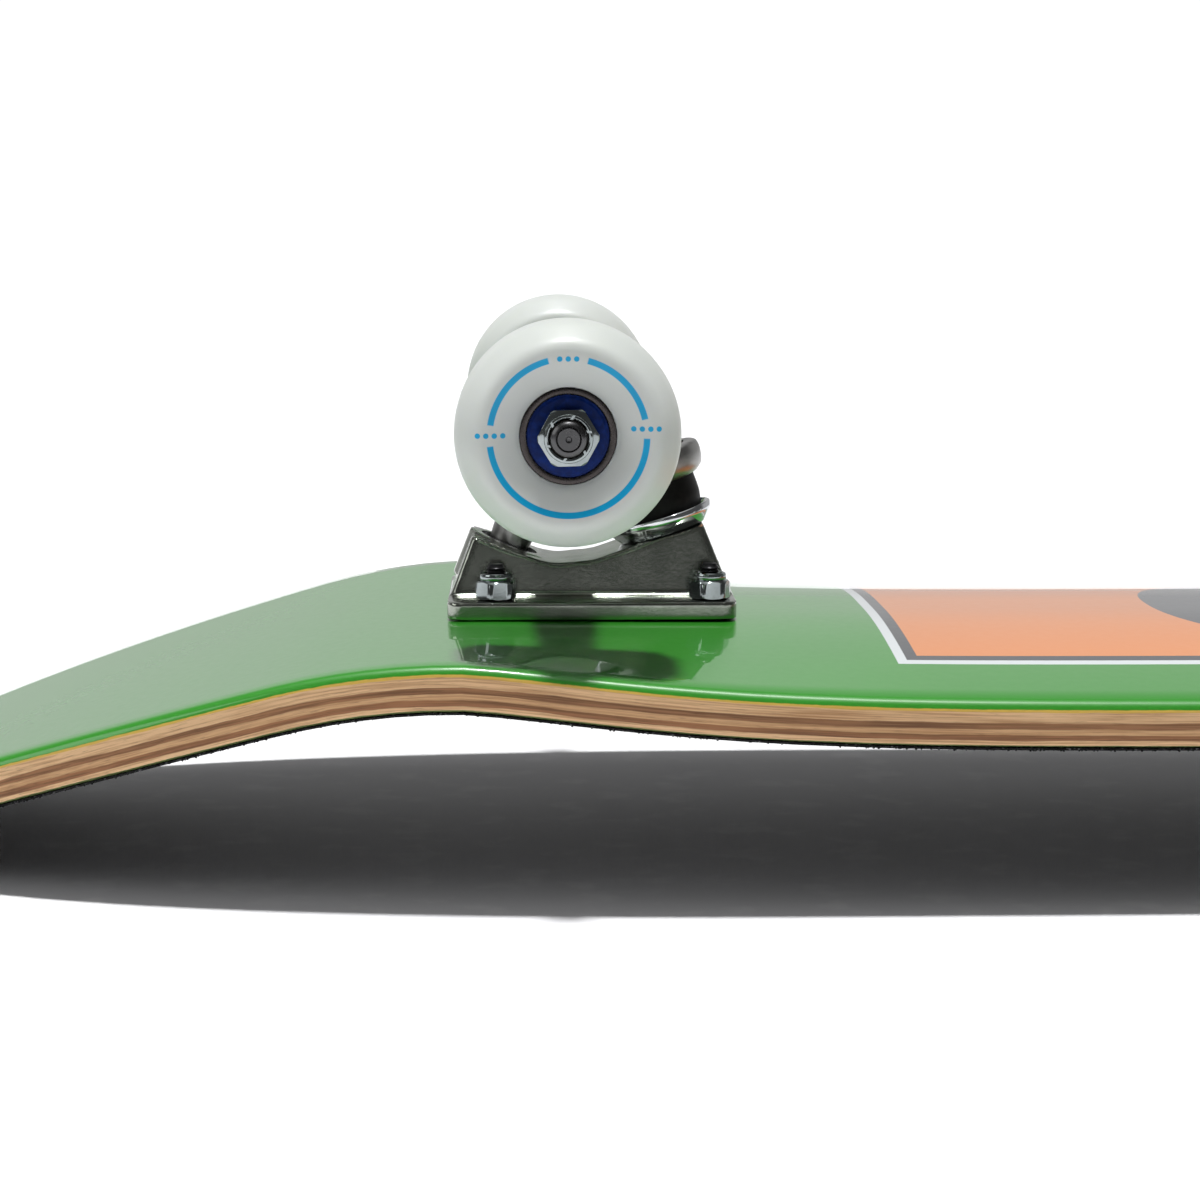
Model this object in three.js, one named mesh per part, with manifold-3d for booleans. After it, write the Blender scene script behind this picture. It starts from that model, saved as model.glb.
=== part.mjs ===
/*
 * Popsicle-shaped street skateboard, stored upside down: wheels up, resting on the nose and tail tips.
 *
 * X runs along the board (nose at -X), Y across it and Z up. Sizes are in millimetres.
 * A truck is modelled in its own frame: the origin is the centre of its bolt pattern on the painted
 * face, -X points outboard, to the tip, and Z points away from the deck.
 */
import * as THREE from 'three';
import { mergeVertices } from 'three/addons/utils/BufferGeometryUtils.js';
import Module from 'manifold-3d';

const wasm = await Module();
wasm.setup();

// ---------------------------------------------------------------- driving dimensions

// Bolt pattern
const WHEELBASE = 362; // between the two inner rows of bolts
const BOLT_SPACING_X = 53.975;
const BOLT_SPACING_Y = 41.275;

// Deck
const DECK_WIDTH = 200;
const DECK_THICKNESS = 10.7;
const NOSE_LENGTH = 174.6; // from the outer bolts to the tip
const TAIL_LENGTH = 161.9;
const TAPER_INSET = 85; // inboard of the outer bolts, where the outline begins to narrow
const OUTLINE_POWER = 2.5; // superellipse exponent of the tips
const TIP_ANGLE = THREE.MathUtils.degToRad(85); // the outline's sweep, short of a point
const KICK_START = 7.2; // beyond the outer bolts
const KICK_ROUND = 45; // length of the bend at the foot of a kick
const NOSE_SLOPE = 0.235; // slope that the bend reaches
const KICK_CURVE = 0.0008; // slope gained per millimetre after it
const CONCAVE_SLOPE = 0.172;
const CONCAVE_FLAT = 8; // half-width of the flat strip along the middle
const CONCAVE_ROUND = 60;
const CONCAVE_START = 7.2; // beyond the outer bolts
const CONCAVE_BLEND = 57;
const CONCAVE_POWER = 1.4;

// Grip tape
const GRIP_THICKNESS = 0.9;
const ADHESIVE = 0.1;

// Mounting hardware
const BOLT_RADIUS = 2.4;
const BOLT_LENGTH = 25.4;
const BOLT_HEAD_RADIUS = 4.75;
const BOLT_NUT_FLATS = 9.5;
const BOLT_NUT_HEIGHT = 6.6;

// Baseplate
const FLANGE_OUTBOARD = 39.3; // from the pattern centre to the end nearest the tip
const FLANGE_INBOARD = 33.6;
const FLANGE_WIDTH = 56.2;
const FLANGE_THICKNESS = 4.75;
const FLANGE_CORNER = 4;
const BODY_WIDTH = 29;
const BODY_DRAFT = 0.1; // narrowing of each side wall per unit of height
const PIVOT_WALL_HEIGHT = 19.6;
const VALLEY_HEIGHT = 13;
const SEAT_WALL = 8; // metal between the washer seat and the kingpin's head
const SEAT_RADIUS = 12.5;
const SEAT_CHIN = 0.78; // share of the seat's radius that the wedge reaches inboard
const PIVOT_WALL_SETBACK = 6; // from the flange's outboard end to the top of the pivot wall
const FLANGE_MARGIN = 0.4; // step between the flange's rim and the wedge

// Kingpin stack, with heights measured along the kingpin from the painted face
const KINGPIN_RADIUS = 4.76;
const KINGPIN_FOOT = 21.9; // where its axis meets the painted face
const KINGPIN_TILT = THREE.MathUtils.degToRad(16.5);
const KINGPIN_HEAD_HEIGHT = 5.5;
const KINGPIN_HEAD_FLATS = 14.3;
const KINGPIN_TAIL = 2.2; // thread left standing past the nut
const KINGPIN_NUT_FLATS = 14.3;
const KINGPIN_NUT_HEIGHT = 9;
const SEAT_HEIGHT = 20.2;
const WASHER_THICKNESS = 1.4;
const BOARDSIDE_WASHER_RADIUS = 13.6;
const BOARDSIDE_WASHER_LIP = 3.2; // height of the turned-up rim over the plate
const BOARDSIDE_WASHER_FLARE = 2.3;
const ROADSIDE_WASHER_RADIUS = 11.1;
const ROADSIDE_WASHER_LIP = 1.8; // depth of the turned-down rim under the plate
const BOARDSIDE_BUSHING_RADIUS = 12.1;
const BOARDSIDE_BUSHING_HEIGHT = 12.8;
const ROADSIDE_BUSHING_RADIUS = 11.3;
const ROADSIDE_BUSHING_HEIGHT = 10.5;
const ROADSIDE_BUSHING_TAPER = 2.3;

// Hanger and pivot
const AXLE_OFFSET = 9.87; // axle, outboard of the pattern centre
const AXLE_HEIGHT = 51.76;
const HANGER_WIDTH = 133;
const BARREL_RADIUS = 9;
const BARREL_END_RADIUS = 7;
const RING_RADIUS = 15.4;
const RING_THICKNESS = 7.6;
const RING_RECESS = 1.6;
const RING_HOLE_RADIUS = 6.3;
const ARM_WIDTH = 22;
const WEB_THICKNESS = 7;
const WEB_SHOULDER = 0.62; // share of the web's depth left one arm width from its middle
const WEB_MARGIN = 6; // from the hanger's end to the web's tip
const NUT_RELIEF = 0.9;
const NUT_SWING = 5; // sideways travel of the kingpin nut against the hanger
const PIVOT_OFFSET = 25.4; // centre of the pivot ball, outboard of the pattern centre
const PIVOT_HEIGHT = 12.5;
const PIVOT_RADIUS = 5.1;
const PIVOT_CUP_WALL = 2.35;
const PIVOT_CUP_RIM = 4.6; // height of the rim over the ball's centre, along the stem
const PIVOT_FLARE = 1.2; // room that the rim leaves round the stem

// Axle, wheels and bearings
const AXLE_RADIUS = 3.97;
const AXLE_LENGTH = 203.2;
const AXLE_CHAMFER = 0.7;
const AXLE_NUT_FLATS = 12.6;
const AXLE_NUT_HEIGHT = 6.8;
const SPEED_WASHER_RADIUS = 5.9;
const SPEED_WASHER_THICKNESS = 1;
const BEARING_RADIUS = 11;
const BEARING_WIDTH = 7;
const HUB_WIDTH = 24; // over the outer faces of a wheel's two bearings
const CORE_BORE_RADIUS = 9.6;
const WHEEL_RADIUS = 26;
const WHEEL_WIDTH = 31;
const TREAD_WIDTH = 16.3;
const PRINT_RADIUS = 18; // where the wheel is widest

// Clearances
const STACK_GAP = 0.1; // between pieces that rest on each other
const FIT = 0.1; // radial room of a fixed piece in its hole
const RUNNING_FIT = 0.11; // radial room of a bearing on the axle
const HOLE_ROOM = 0.3; // radial room of a bolt in its hole
const OVERCUT = 1; // how far a cutter runs past the face it opens
const CUTTER_REACH = 30; // length of a cutter that runs out of the piece

// Roundness
const FINE = 24;
const MEDIUM = 18;
const COARSE = 10;

// ---------------------------------------------------------------- derived places

const PATTERN_X = (WHEELBASE + BOLT_SPACING_X) / 2;
const OUTER_BOLT_X = PATTERN_X + BOLT_SPACING_X / 2;
const STACK_THICKNESS = DECK_THICKNESS + ADHESIVE + GRIP_THICKNESS;
const TIP_DROP = kickDrop(NOSE_LENGTH, NOSE_SLOPE);
const TAIL_SLOPE = levelTailSlope();

const WASHER_BOTTOM = SEAT_HEIGHT + STACK_GAP;
const BUSHING_BOTTOM = WASHER_BOTTOM + WASHER_THICKNESS + STACK_GAP;
const RING_BOTTOM = BUSHING_BOTTOM + BOARDSIDE_BUSHING_HEIGHT + STACK_GAP - RING_RECESS;
const RING_TOP = RING_BOTTOM + RING_THICKNESS;
const CONE_BOTTOM = RING_TOP - RING_RECESS + STACK_GAP;
const TOP_WASHER_BOTTOM = CONE_BOTTOM + ROADSIDE_BUSHING_HEIGHT + STACK_GAP;
const KINGPIN_NUT_BOTTOM = TOP_WASHER_BOTTOM + WASHER_THICKNESS + STACK_GAP;
const KINGPIN_TOP = KINGPIN_NUT_BOTTOM + KINGPIN_NUT_HEIGHT + KINGPIN_TAIL;
const KINGPIN_HEAD_TOP = SEAT_HEIGHT - SEAT_WALL - STACK_GAP;

const WHEEL_CENTRE = HANGER_WIDTH / 2 + 2 * STACK_GAP + SPEED_WASHER_THICKNESS + HUB_WIDTH / 2;
const OUTER_WASHER_Y = WHEEL_CENTRE + HUB_WIDTH / 2 + STACK_GAP;
const AXLE_NUT_Y = OUTER_WASHER_Y + SPEED_WASHER_THICKNESS + STACK_GAP;

// ---------------------------------------------------------------- solids

/** Turns a closed three.js geometry into a solid for joining and cutting. */
function toSolid(geometry) {
  const bare = geometry.clone();
  bare.deleteAttribute('normal');
  bare.deleteAttribute('uv');
  const merged = mergeVertices(bare);
  return new wasm.Manifold(new wasm.Mesh({
    numProp: 3,
    vertProperties: merged.attributes.position.array,
    triVerts: new Uint32Array(merged.index.array),
  }));
}

/** Turns a solid back into a three.js geometry. */
function toGeometry(solid) {
  const mesh = solid.getMesh();
  const geometry = new THREE.BufferGeometry();
  geometry.setAttribute('position', new THREE.BufferAttribute(mesh.vertProperties, 3));
  geometry.setIndex(new THREE.BufferAttribute(mesh.triVerts, 1));
  geometry.computeVertexNormals();
  return geometry;
}

/** Joins closed geometries into one solid. */
function join(...geometries) {
  return geometries.map(toSolid).reduce((whole, next) => whole.add(next));
}

/** Cuts closed geometries out of a solid. */
function cut(solid, ...geometries) {
  return geometries.map(toSolid).reduce((rest, cutter) => rest.subtract(cutter), solid);
}

/** Revolves [radius, height] points about Z. The outline runs upward on its outer side. */
function turned(points, segments) {
  const outline = points.map(([radius, height]) => new THREE.Vector2(radius, height));
  return new THREE.LatheGeometry(outline, segments).rotateX(Math.PI / 2);
}

/** Revolves a ring-shaped section, which closes on itself. */
function turnedRing(points, segments) {
  return turned([...points, points[0]], segments);
}

/** A plain round bar along Z. */
function bar(radius, bottom, top, segments) {
  return turned([[0, bottom], [radius, bottom], [radius, top], [0, top]], segments);
}

/** Corner radius of a hole whose flats clear a round piece by a given room. */
function holeRadius(radius, room, segments) {
  return (radius + room) / Math.cos(Math.PI / segments);
}

/** A hexagonal nut along Z with a round hole, standing on its bottom height. */
function hexNut(flats, boreRadius, bottom, height) {
  const outline = new THREE.Shape();
  for (let corner = 0; corner < 6; corner += 1) {
    const angle = corner * Math.PI / 3;
    const reach = flats / 2 / Math.cos(Math.PI / 6);
    const move = corner === 0 ? 'moveTo' : 'lineTo';
    outline[move](reach * Math.cos(angle), reach * Math.sin(angle));
  }
  outline.closePath();
  outline.holes.push(new THREE.Path().absarc(0, 0, boreRadius, 0, 2 * Math.PI, true));
  const options = { depth: height, bevelEnabled: false, curveSegments: COARSE / 2 };
  return new THREE.ExtrudeGeometry(outline, options).translate(0, 0, bottom);
}

/** Extrudes an X-Z outline to a width that is centred on Y = 0. */
function slice(shape, width) {
  const options = { depth: width, bevelEnabled: false, curveSegments: 6 };
  return new THREE.ExtrudeGeometry(shape, options).rotateX(Math.PI / 2).translate(0, width / 2, 0);
}

/** Places geometry made along the kingpin, which leans outboard as it rises. */
function onKingpin(geometry) {
  return geometry.rotateY(-KINGPIN_TILT).translate(KINGPIN_FOOT, 0, 0);
}

/** A point in the truck's X-Z plane, given along the kingpin and square to it. */
function kingpinPoint(height, side) {
  const x = KINGPIN_FOOT - height * Math.sin(KINGPIN_TILT) + side * Math.cos(KINGPIN_TILT);
  const z = height * Math.cos(KINGPIN_TILT) + side * Math.sin(KINGPIN_TILT);
  return new THREE.Vector2(x, z);
}

// ---------------------------------------------------------------- deck and grip tape

/** Drop of a kick at a distance beyond the outer bolts. */
function kickDrop(beyond, slope) {
  const run = beyond - KICK_START;
  if (run <= 0) {
    return 0;
  }
  const bend = run < KICK_ROUND ? run * run / (2 * KICK_ROUND) : run - KICK_ROUND / 2;
  return slope * bend + KICK_CURVE * run * run / 2;
}

/** Slope that brings the tail's tip down to the height of the nose's tip. */
function levelTailSlope() {
  const curved = kickDrop(TAIL_LENGTH, 0);
  const perSlope = kickDrop(TAIL_LENGTH, 1) - curved;
  return (TIP_DROP - curved) / perSlope;
}

/** How far the concave has grown at a distance inward from its start. */
function concaveShare(inward) {
  return inward <= 0 ? 0 : 1 - Math.exp(-((inward / CONCAVE_BLEND) ** CONCAVE_POWER));
}

/** Height of the painted face over its own flat middle. */
function faceHeight(x, y) {
  const beyond = Math.abs(x) - OUTER_BOLT_X;
  const kick = kickDrop(beyond, x < 0 ? NOSE_SLOPE : TAIL_SLOPE);
  const across = Math.max(0, Math.abs(y) - CONCAVE_FLAT);
  const concave = CONCAVE_SLOPE * (Math.hypot(across, CONCAVE_ROUND) - CONCAVE_ROUND);
  return -kick - concave * concaveShare(CONCAVE_START - beyond);
}

/** Height of a layer that lies a given depth under the painted face, measured square to it. */
function layerHeight(x, y, depth) {
  const step = 1;
  const slopeX = (faceHeight(x + step, y) - faceHeight(x - step, y)) / (2 * step);
  const slopeY = (faceHeight(x, y + step) - faceHeight(x, y - step)) / (2 * step);
  return faceHeight(x, y) - depth * Math.sqrt(1 + slopeX * slopeX + slopeY * slopeY);
}

/** Stations along one end of the board, from the tip inward to the foot of its kick. */
function endStations(length) {
  const taperX = OUTER_BOLT_X - TAPER_INSET;
  const kickX = OUTER_BOLT_X + KICK_START;
  const tipSteps = 12;
  const bendSteps = 4;
  const stations = [];
  for (let step = 0; step < tipSteps; step += 1) {
    const share = Math.sin(TIP_ANGLE * (1 - step / tipSteps)) / Math.sin(TIP_ANGLE);
    stations.push(taperX + (length + TAPER_INSET) * share ** (2 / OUTLINE_POWER));
  }
  const beyondBend = stations.filter((x) => x > kickX + KICK_ROUND * (1 + 1 / bendSteps));
  for (let step = bendSteps; step >= 0; step -= 1) {
    beyondBend.push(kickX + KICK_ROUND * step / bendSteps);
  }
  return beyondBend;
}

/** Half of the board's width at a place along it. */
function halfWidth(x) {
  const length = x < 0 ? NOSE_LENGTH : TAIL_LENGTH;
  const run = Math.max(0, Math.abs(x) - OUTER_BOLT_X + TAPER_INSET) / (length + TAPER_INSET);
  const tipRun = Math.sin(TIP_ANGLE) ** (2 / OUTLINE_POWER);
  return (1 - (run * tipRun) ** OUTLINE_POWER) ** (1 / OUTLINE_POWER) * DECK_WIDTH / 2;
}

/** Stations along the board: [x, half-width], from the nose's tip to the tail's. */
function outlineStations() {
  const nose = endStations(NOSE_LENGTH).map((x) => -x);
  const tail = endStations(TAIL_LENGTH).reverse();
  const middleSteps = 18;
  const middle = [];
  for (let step = 1; step < middleSteps; step += 1) {
    middle.push((OUTER_BOLT_X + KICK_START) * (2 * step / middleSteps - 1));
  }
  return [...nose, ...middle, ...tail].map((x) => [x, halfWidth(x)]);
}

/** Places across one station, with the flat strip kept whole in the middle. */
function lateralPlaces(half) {
  const steps = 3;
  const places = [];
  for (let step = 0; step <= steps; step += 1) {
    places.push(CONCAVE_FLAT + (half - CONCAVE_FLAT) * step / steps);
  }
  return [...places.map((place) => -place).reverse(), ...places];
}

/** Closed slab between two depths under the painted face. */
function bentSlab(topDepth, bottomDepth) {
  const stations = outlineStations();
  const columns = lateralPlaces(DECK_WIDTH / 2).length;
  const vertices = [];
  for (const depth of [topDepth, bottomDepth]) {
    for (const [x, half] of stations) {
      for (const y of lateralPlaces(half)) {
        vertices.push(x, y, layerHeight(x, y, depth));
      }
    }
  }
  const layerSize = stations.length * columns;
  const faces = [];
  const addQuad = (a, b, c, d) => faces.push(a, b, c, a, c, d);
  for (let row = 0; row < stations.length - 1; row += 1) {
    for (let column = 0; column < columns - 1; column += 1) {
      const a = row * columns + column;
      const [b, c, d] = [a + columns, a + columns + 1, a + 1];
      addQuad(a, b, c, d);
      faces.push(...[a, c, b, a, d, c].map((corner) => corner + layerSize));
    }
  }
  const rim = rimCorners(stations.length, columns);
  rim.forEach((corner, index) => {
    const next = rim[(index + 1) % rim.length];
    addQuad(corner, corner + layerSize, next + layerSize, next);
  });
  const slab = new THREE.BufferGeometry();
  slab.setAttribute('position', new THREE.Float32BufferAttribute(vertices, 3));
  slab.setIndex(faces);
  slab.computeVertexNormals();
  return slab;
}

/** Corner numbers round a grid's edge, counter-clockwise from above. */
function rimCorners(rows, columns) {
  const corners = [];
  for (let row = 0; row < rows - 1; row += 1) {
    corners.push(row * columns);
  }
  for (let column = 0; column < columns - 1; column += 1) {
    corners.push((rows - 1) * columns + column);
  }
  for (let row = rows - 1; row > 0; row -= 1) {
    corners.push(row * columns + columns - 1);
  }
  for (let column = columns - 1; column > 0; column -= 1) {
    corners.push(column);
  }
  return corners;
}

/** The four bolt places of one truck: [x, y]. */
function boltPlaces() {
  const places = [];
  for (const x of [-BOLT_SPACING_X / 2, BOLT_SPACING_X / 2]) {
    for (const y of [-BOLT_SPACING_Y / 2, BOLT_SPACING_Y / 2]) {
      places.push([x, y]);
    }
  }
  return places;
}

/** Bolt outline with its countersunk head, grown by a given room. */
function boltOutline(room, headBottom, top) {
  const headRadius = BOLT_HEAD_RADIUS + room;
  const shankRadius = BOLT_RADIUS + room;
  const coneTop = -STACK_THICKNESS + (headRadius - shankRadius) + room;
  return [
    [0, headBottom],
    [headRadius, headBottom],
    [headRadius, -STACK_THICKNESS + room],
    [shankRadius, coneTop],
    [shankRadius, top],
    [0, top],
  ];
}

/** Cutters for all eight bolts, in the board's frame. */
function boltHoleCutters() {
  const below = -STACK_THICKNESS - CUTTER_REACH;
  const above = FLANGE_THICKNESS + OVERCUT;
  const cutters = [];
  for (const side of [-1, 1]) {
    for (const [x, y] of boltPlaces()) {
      const cutter = turned(boltOutline(HOLE_ROOM, below, above), COARSE);
      cutters.push(cutter.translate(side * PATTERN_X + x, y, 0));
    }
  }
  return cutters;
}

function deckGeometry() {
  return toGeometry(cut(toSolid(bentSlab(0, DECK_THICKNESS)), ...boltHoleCutters()));
}

function gripTapeGeometry() {
  const top = DECK_THICKNESS + ADHESIVE;
  return toGeometry(cut(toSolid(bentSlab(top, STACK_THICKNESS)), ...boltHoleCutters()));
}

// ---------------------------------------------------------------- truck: baseplate side

/** Rounded plate that the bolts go through. */
function flangeGeometry() {
  const left = -FLANGE_OUTBOARD;
  const right = FLANGE_INBOARD;
  const half = FLANGE_WIDTH / 2;
  const r = FLANGE_CORNER;
  const shape = new THREE.Shape();
  shape.absarc(right - r, half - r, r, 0, Math.PI / 2);
  shape.absarc(left + r, half - r, r, Math.PI / 2, Math.PI);
  shape.absarc(left + r, -half + r, r, Math.PI, 1.5 * Math.PI);
  shape.absarc(right - r, -half + r, r, 1.5 * Math.PI, 2 * Math.PI);
  shape.closePath();
  const options = { depth: FLANGE_THICKNESS, bevelEnabled: false, curveSegments: 2 };
  return new THREE.ExtrudeGeometry(shape, options);
}

/** Wedge between the pivot pocket and the kingpin seat, with drafted side walls. */
function baseBodyGeometry() {
  const foot = FLANGE_THICKNESS - OVERCUT;
  const seatNear = kingpinPoint(SEAT_HEIGHT, SEAT_RADIUS * SEAT_CHIN);
  const seatFar = kingpinPoint(SEAT_HEIGHT, -SEAT_RADIUS);
  const valleyX = -PIVOT_OFFSET + SEAT_RADIUS;
  const shape = new THREE.Shape();
  shape.moveTo(-FLANGE_OUTBOARD + FLANGE_MARGIN, foot);
  shape.lineTo(FLANGE_INBOARD - FLANGE_MARGIN, foot);
  shape.lineTo(seatNear.x, seatNear.y);
  shape.lineTo(seatFar.x, seatFar.y);
  shape.quadraticCurveTo((valleyX + seatFar.x) / 2, VALLEY_HEIGHT - 0.2, valleyX, VALLEY_HEIGHT);
  shape.lineTo(-FLANGE_OUTBOARD + PIVOT_WALL_SETBACK, PIVOT_WALL_HEIGHT);
  shape.closePath();
  const body = slice(shape, BODY_WIDTH);
  const position = body.attributes.position;
  for (let i = 0; i < position.count; i += 1) {
    const rise = position.getZ(i) - FLANGE_THICKNESS;
    const half = BODY_WIDTH / 2 - BODY_DRAFT * rise;
    position.setY(i, Math.sign(position.getY(i)) * half);
  }
  return body;
}

/** Places geometry made along the pivot stem, with the pivot ball's centre at its origin. */
function onPivot(geometry) {
  const lean = Math.atan2(PIVOT_OFFSET - AXLE_OFFSET, AXLE_HEIGHT - PIVOT_HEIGHT);
  return geometry.rotateY(lean).translate(-PIVOT_OFFSET, 0, PIVOT_HEIGHT);
}

const CUP_RADIUS = PIVOT_RADIUS + FIT + PIVOT_CUP_WALL;
const CUP_BOTTOM = -PIVOT_RADIUS - FIT - PIVOT_CUP_WALL * 0.7;

function baseplateGeometry() {
  const seatBoss = onKingpin(bar(SEAT_RADIUS, SEAT_HEIGHT - SEAT_WALL, SEAT_HEIGHT, MEDIUM));
  const kingpinHole = holeRadius(KINGPIN_RADIUS, HOLE_ROOM, MEDIUM);
  const headPocket = holeRadius(KINGPIN_HEAD_FLATS / 2 / Math.cos(Math.PI / 6), HOLE_ROOM, MEDIUM);
  const cutters = [
    onKingpin(bar(headPocket, -CUTTER_REACH, SEAT_HEIGHT - SEAT_WALL, MEDIUM)),
    onKingpin(bar(kingpinHole, -CUTTER_REACH, SEAT_HEIGHT + OVERCUT, MEDIUM)),
    onPivot(bar(holeRadius(CUP_RADIUS, FIT, MEDIUM), CUP_BOTTOM - FIT, CUTTER_REACH, MEDIUM)),
  ];
  for (const [x, y] of boltPlaces()) {
    const radius = holeRadius(BOLT_RADIUS, HOLE_ROOM, COARSE);
    cutters.push(bar(radius, -OVERCUT, FLANGE_THICKNESS + OVERCUT, COARSE).translate(x, y, 0));
  }
  const whole = join(flangeGeometry(), baseBodyGeometry(), seatBoss);
  return toGeometry(cut(whole, ...cutters)).translate(0, 0, STACK_GAP / 2);
}

/** Urethane cup: a round-bottomed socket that flares round the stem. */
function pivotCupGeometry() {
  const socket = PIVOT_RADIUS + FIT;
  const arcSteps = 4;
  const points = [[0, CUP_BOTTOM], [CUP_RADIUS, CUP_BOTTOM], [CUP_RADIUS, PIVOT_CUP_RIM]];
  points.push([socket + PIVOT_FLARE, PIVOT_CUP_RIM]);
  for (let step = arcSteps; step >= 0; step -= 1) {
    const angle = step / arcSteps * Math.PI / 2;
    const radius = holeRadius(socket, 0, MEDIUM) * Math.sin(angle);
    points.push([step === 0 ? 0 : radius, -socket * 1.05 * Math.cos(angle)]);
  }
  return onPivot(turned(points, MEDIUM));
}

// ---------------------------------------------------------------- truck: kingpin stack

function kingpinGeometry() {
  const reach = KINGPIN_HEAD_FLATS / 2 / Math.cos(Math.PI / 6);
  const head = bar(reach, KINGPIN_HEAD_TOP - KINGPIN_HEAD_HEIGHT, KINGPIN_HEAD_TOP, 6);
  const shank = bar(KINGPIN_RADIUS, KINGPIN_HEAD_TOP - OVERCUT, KINGPIN_TOP, MEDIUM);
  return onKingpin(toGeometry(join(head, shank)));
}

function kingpinNutGeometry() {
  const bore = holeRadius(KINGPIN_RADIUS, FIT, COARSE);
  return onKingpin(hexNut(KINGPIN_NUT_FLATS, bore, KINGPIN_NUT_BOTTOM, KINGPIN_NUT_HEIGHT));
}

/** Cupped washer under the boardside bushing, its rim turned up. */
function boardsideWasherGeometry() {
  const bore = holeRadius(KINGPIN_RADIUS, FIT, MEDIUM);
  const rim = BOARDSIDE_WASHER_RADIUS;
  const top = WASHER_THICKNESS + BOARDSIDE_WASHER_LIP;
  return onKingpin(turnedRing([
    [bore, 0],
    [rim - BOARDSIDE_WASHER_FLARE, 0],
    [rim, top - 1],
    [rim - 0.3, top],
    [rim - 1.2, top - 0.2],
    [rim - 2.8, WASHER_THICKNESS],
    [bore, WASHER_THICKNESS],
  ], MEDIUM).translate(0, 0, WASHER_BOTTOM));
}

/** Smaller cupped washer over the roadside bushing, its rim turned down. */
function roadsideWasherGeometry() {
  const bore = holeRadius(KINGPIN_RADIUS, FIT, MEDIUM);
  const rim = ROADSIDE_WASHER_RADIUS;
  return onKingpin(turnedRing([
    [bore, 0],
    [rim - 1.8, 0],
    [rim - 0.9, -ROADSIDE_WASHER_LIP],
    [rim, 0.2 - ROADSIDE_WASHER_LIP],
    [rim - 0.7, WASHER_THICKNESS],
    [bore, WASHER_THICKNESS],
  ], MEDIUM).translate(0, 0, TOP_WASHER_BOTTOM));
}

function boardsideBushingGeometry() {
  const bore = holeRadius(KINGPIN_RADIUS, FIT, MEDIUM);
  const radius = BOARDSIDE_BUSHING_RADIUS;
  const height = BOARDSIDE_BUSHING_HEIGHT;
  return onKingpin(turnedRing([
    [bore, 0],
    [radius - 1.7, 0],
    [radius - 0.3, 3],
    [radius, height / 2],
    [radius - 0.3, height],
    [bore, height],
  ], MEDIUM).translate(0, 0, BUSHING_BOTTOM));
}

function roadsideBushingGeometry() {
  const bore = holeRadius(KINGPIN_RADIUS, FIT, MEDIUM);
  const height = ROADSIDE_BUSHING_HEIGHT;
  return onKingpin(turnedRing([
    [bore, 0],
    [ROADSIDE_BUSHING_RADIUS, 0],
    [ROADSIDE_BUSHING_RADIUS, RING_RECESS],
    [ROADSIDE_BUSHING_RADIUS - ROADSIDE_BUSHING_TAPER, height],
    [bore, height],
  ], MEDIUM).translate(0, 0, CONE_BOTTOM));
}

// ---------------------------------------------------------------- truck: hanger side

/** Housing round the axle, along Y. */
function barrelGeometry() {
  const end = HANGER_WIDTH / 2;
  return turned([
    [0, -end],
    [BARREL_END_RADIUS, -end],
    [BARREL_RADIUS, -ARM_WIDTH],
    [BARREL_RADIUS, ARM_WIDTH],
    [BARREL_END_RADIUS, end],
    [0, end],
  ], MEDIUM).rotateX(-Math.PI / 2).translate(-AXLE_OFFSET, 0, AXLE_HEIGHT);
}

/** Wing under the barrel, deepest in the middle. */
function wingGeometry() {
  const end = HANGER_WIDTH / 2 - WEB_MARGIN;
  const depth = (AXLE_HEIGHT - PIVOT_HEIGHT) / 2;
  const shape = new THREE.Shape();
  shape.moveTo(-end, 0);
  shape.lineTo(-ARM_WIDTH, -depth * WEB_SHOULDER);
  shape.lineTo(-ARM_WIDTH / 2, -depth);
  shape.lineTo(ARM_WIDTH / 2, -depth);
  shape.lineTo(ARM_WIDTH, -depth * WEB_SHOULDER);
  shape.lineTo(end, 0);
  shape.closePath();
  const options = { depth: WEB_THICKNESS, bevelEnabled: false };
  const wing = new THREE.ExtrudeGeometry(shape, options).translate(0, 0, -WEB_THICKNESS / 2);
  return wing.rotateX(Math.PI / 2).rotateZ(Math.PI / 2).translate(-AXLE_OFFSET, 0, AXLE_HEIGHT);
}

/** Arm that carries the ring, seen from the side. */
function armGeometry() {
  const inner = -RING_RADIUS + 4;
  const edge = -BOARDSIDE_BUSHING_RADIUS - 1;
  const outline = [
    kingpinPoint(RING_BOTTOM + RING_RECESS, inner),
    kingpinPoint(RING_BOTTOM, -RING_RADIUS + 1),
    new THREE.Vector2(-AXLE_OFFSET - 2, (AXLE_HEIGHT + PIVOT_HEIGHT) / 2 - 2),
    new THREE.Vector2(-PIVOT_OFFSET + 6, (AXLE_HEIGHT + PIVOT_HEIGHT) / 2 - 3),
    new THREE.Vector2(-AXLE_OFFSET - BARREL_RADIUS + 1.5, AXLE_HEIGHT - 2),
    new THREE.Vector2(-AXLE_OFFSET + BARREL_RADIUS - 2, AXLE_HEIGHT - 3),
    kingpinPoint(RING_TOP + 1, edge),
    kingpinPoint(RING_TOP - 1, inner),
  ];
  return slice(new THREE.Shape(outline), ARM_WIDTH);
}

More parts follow.
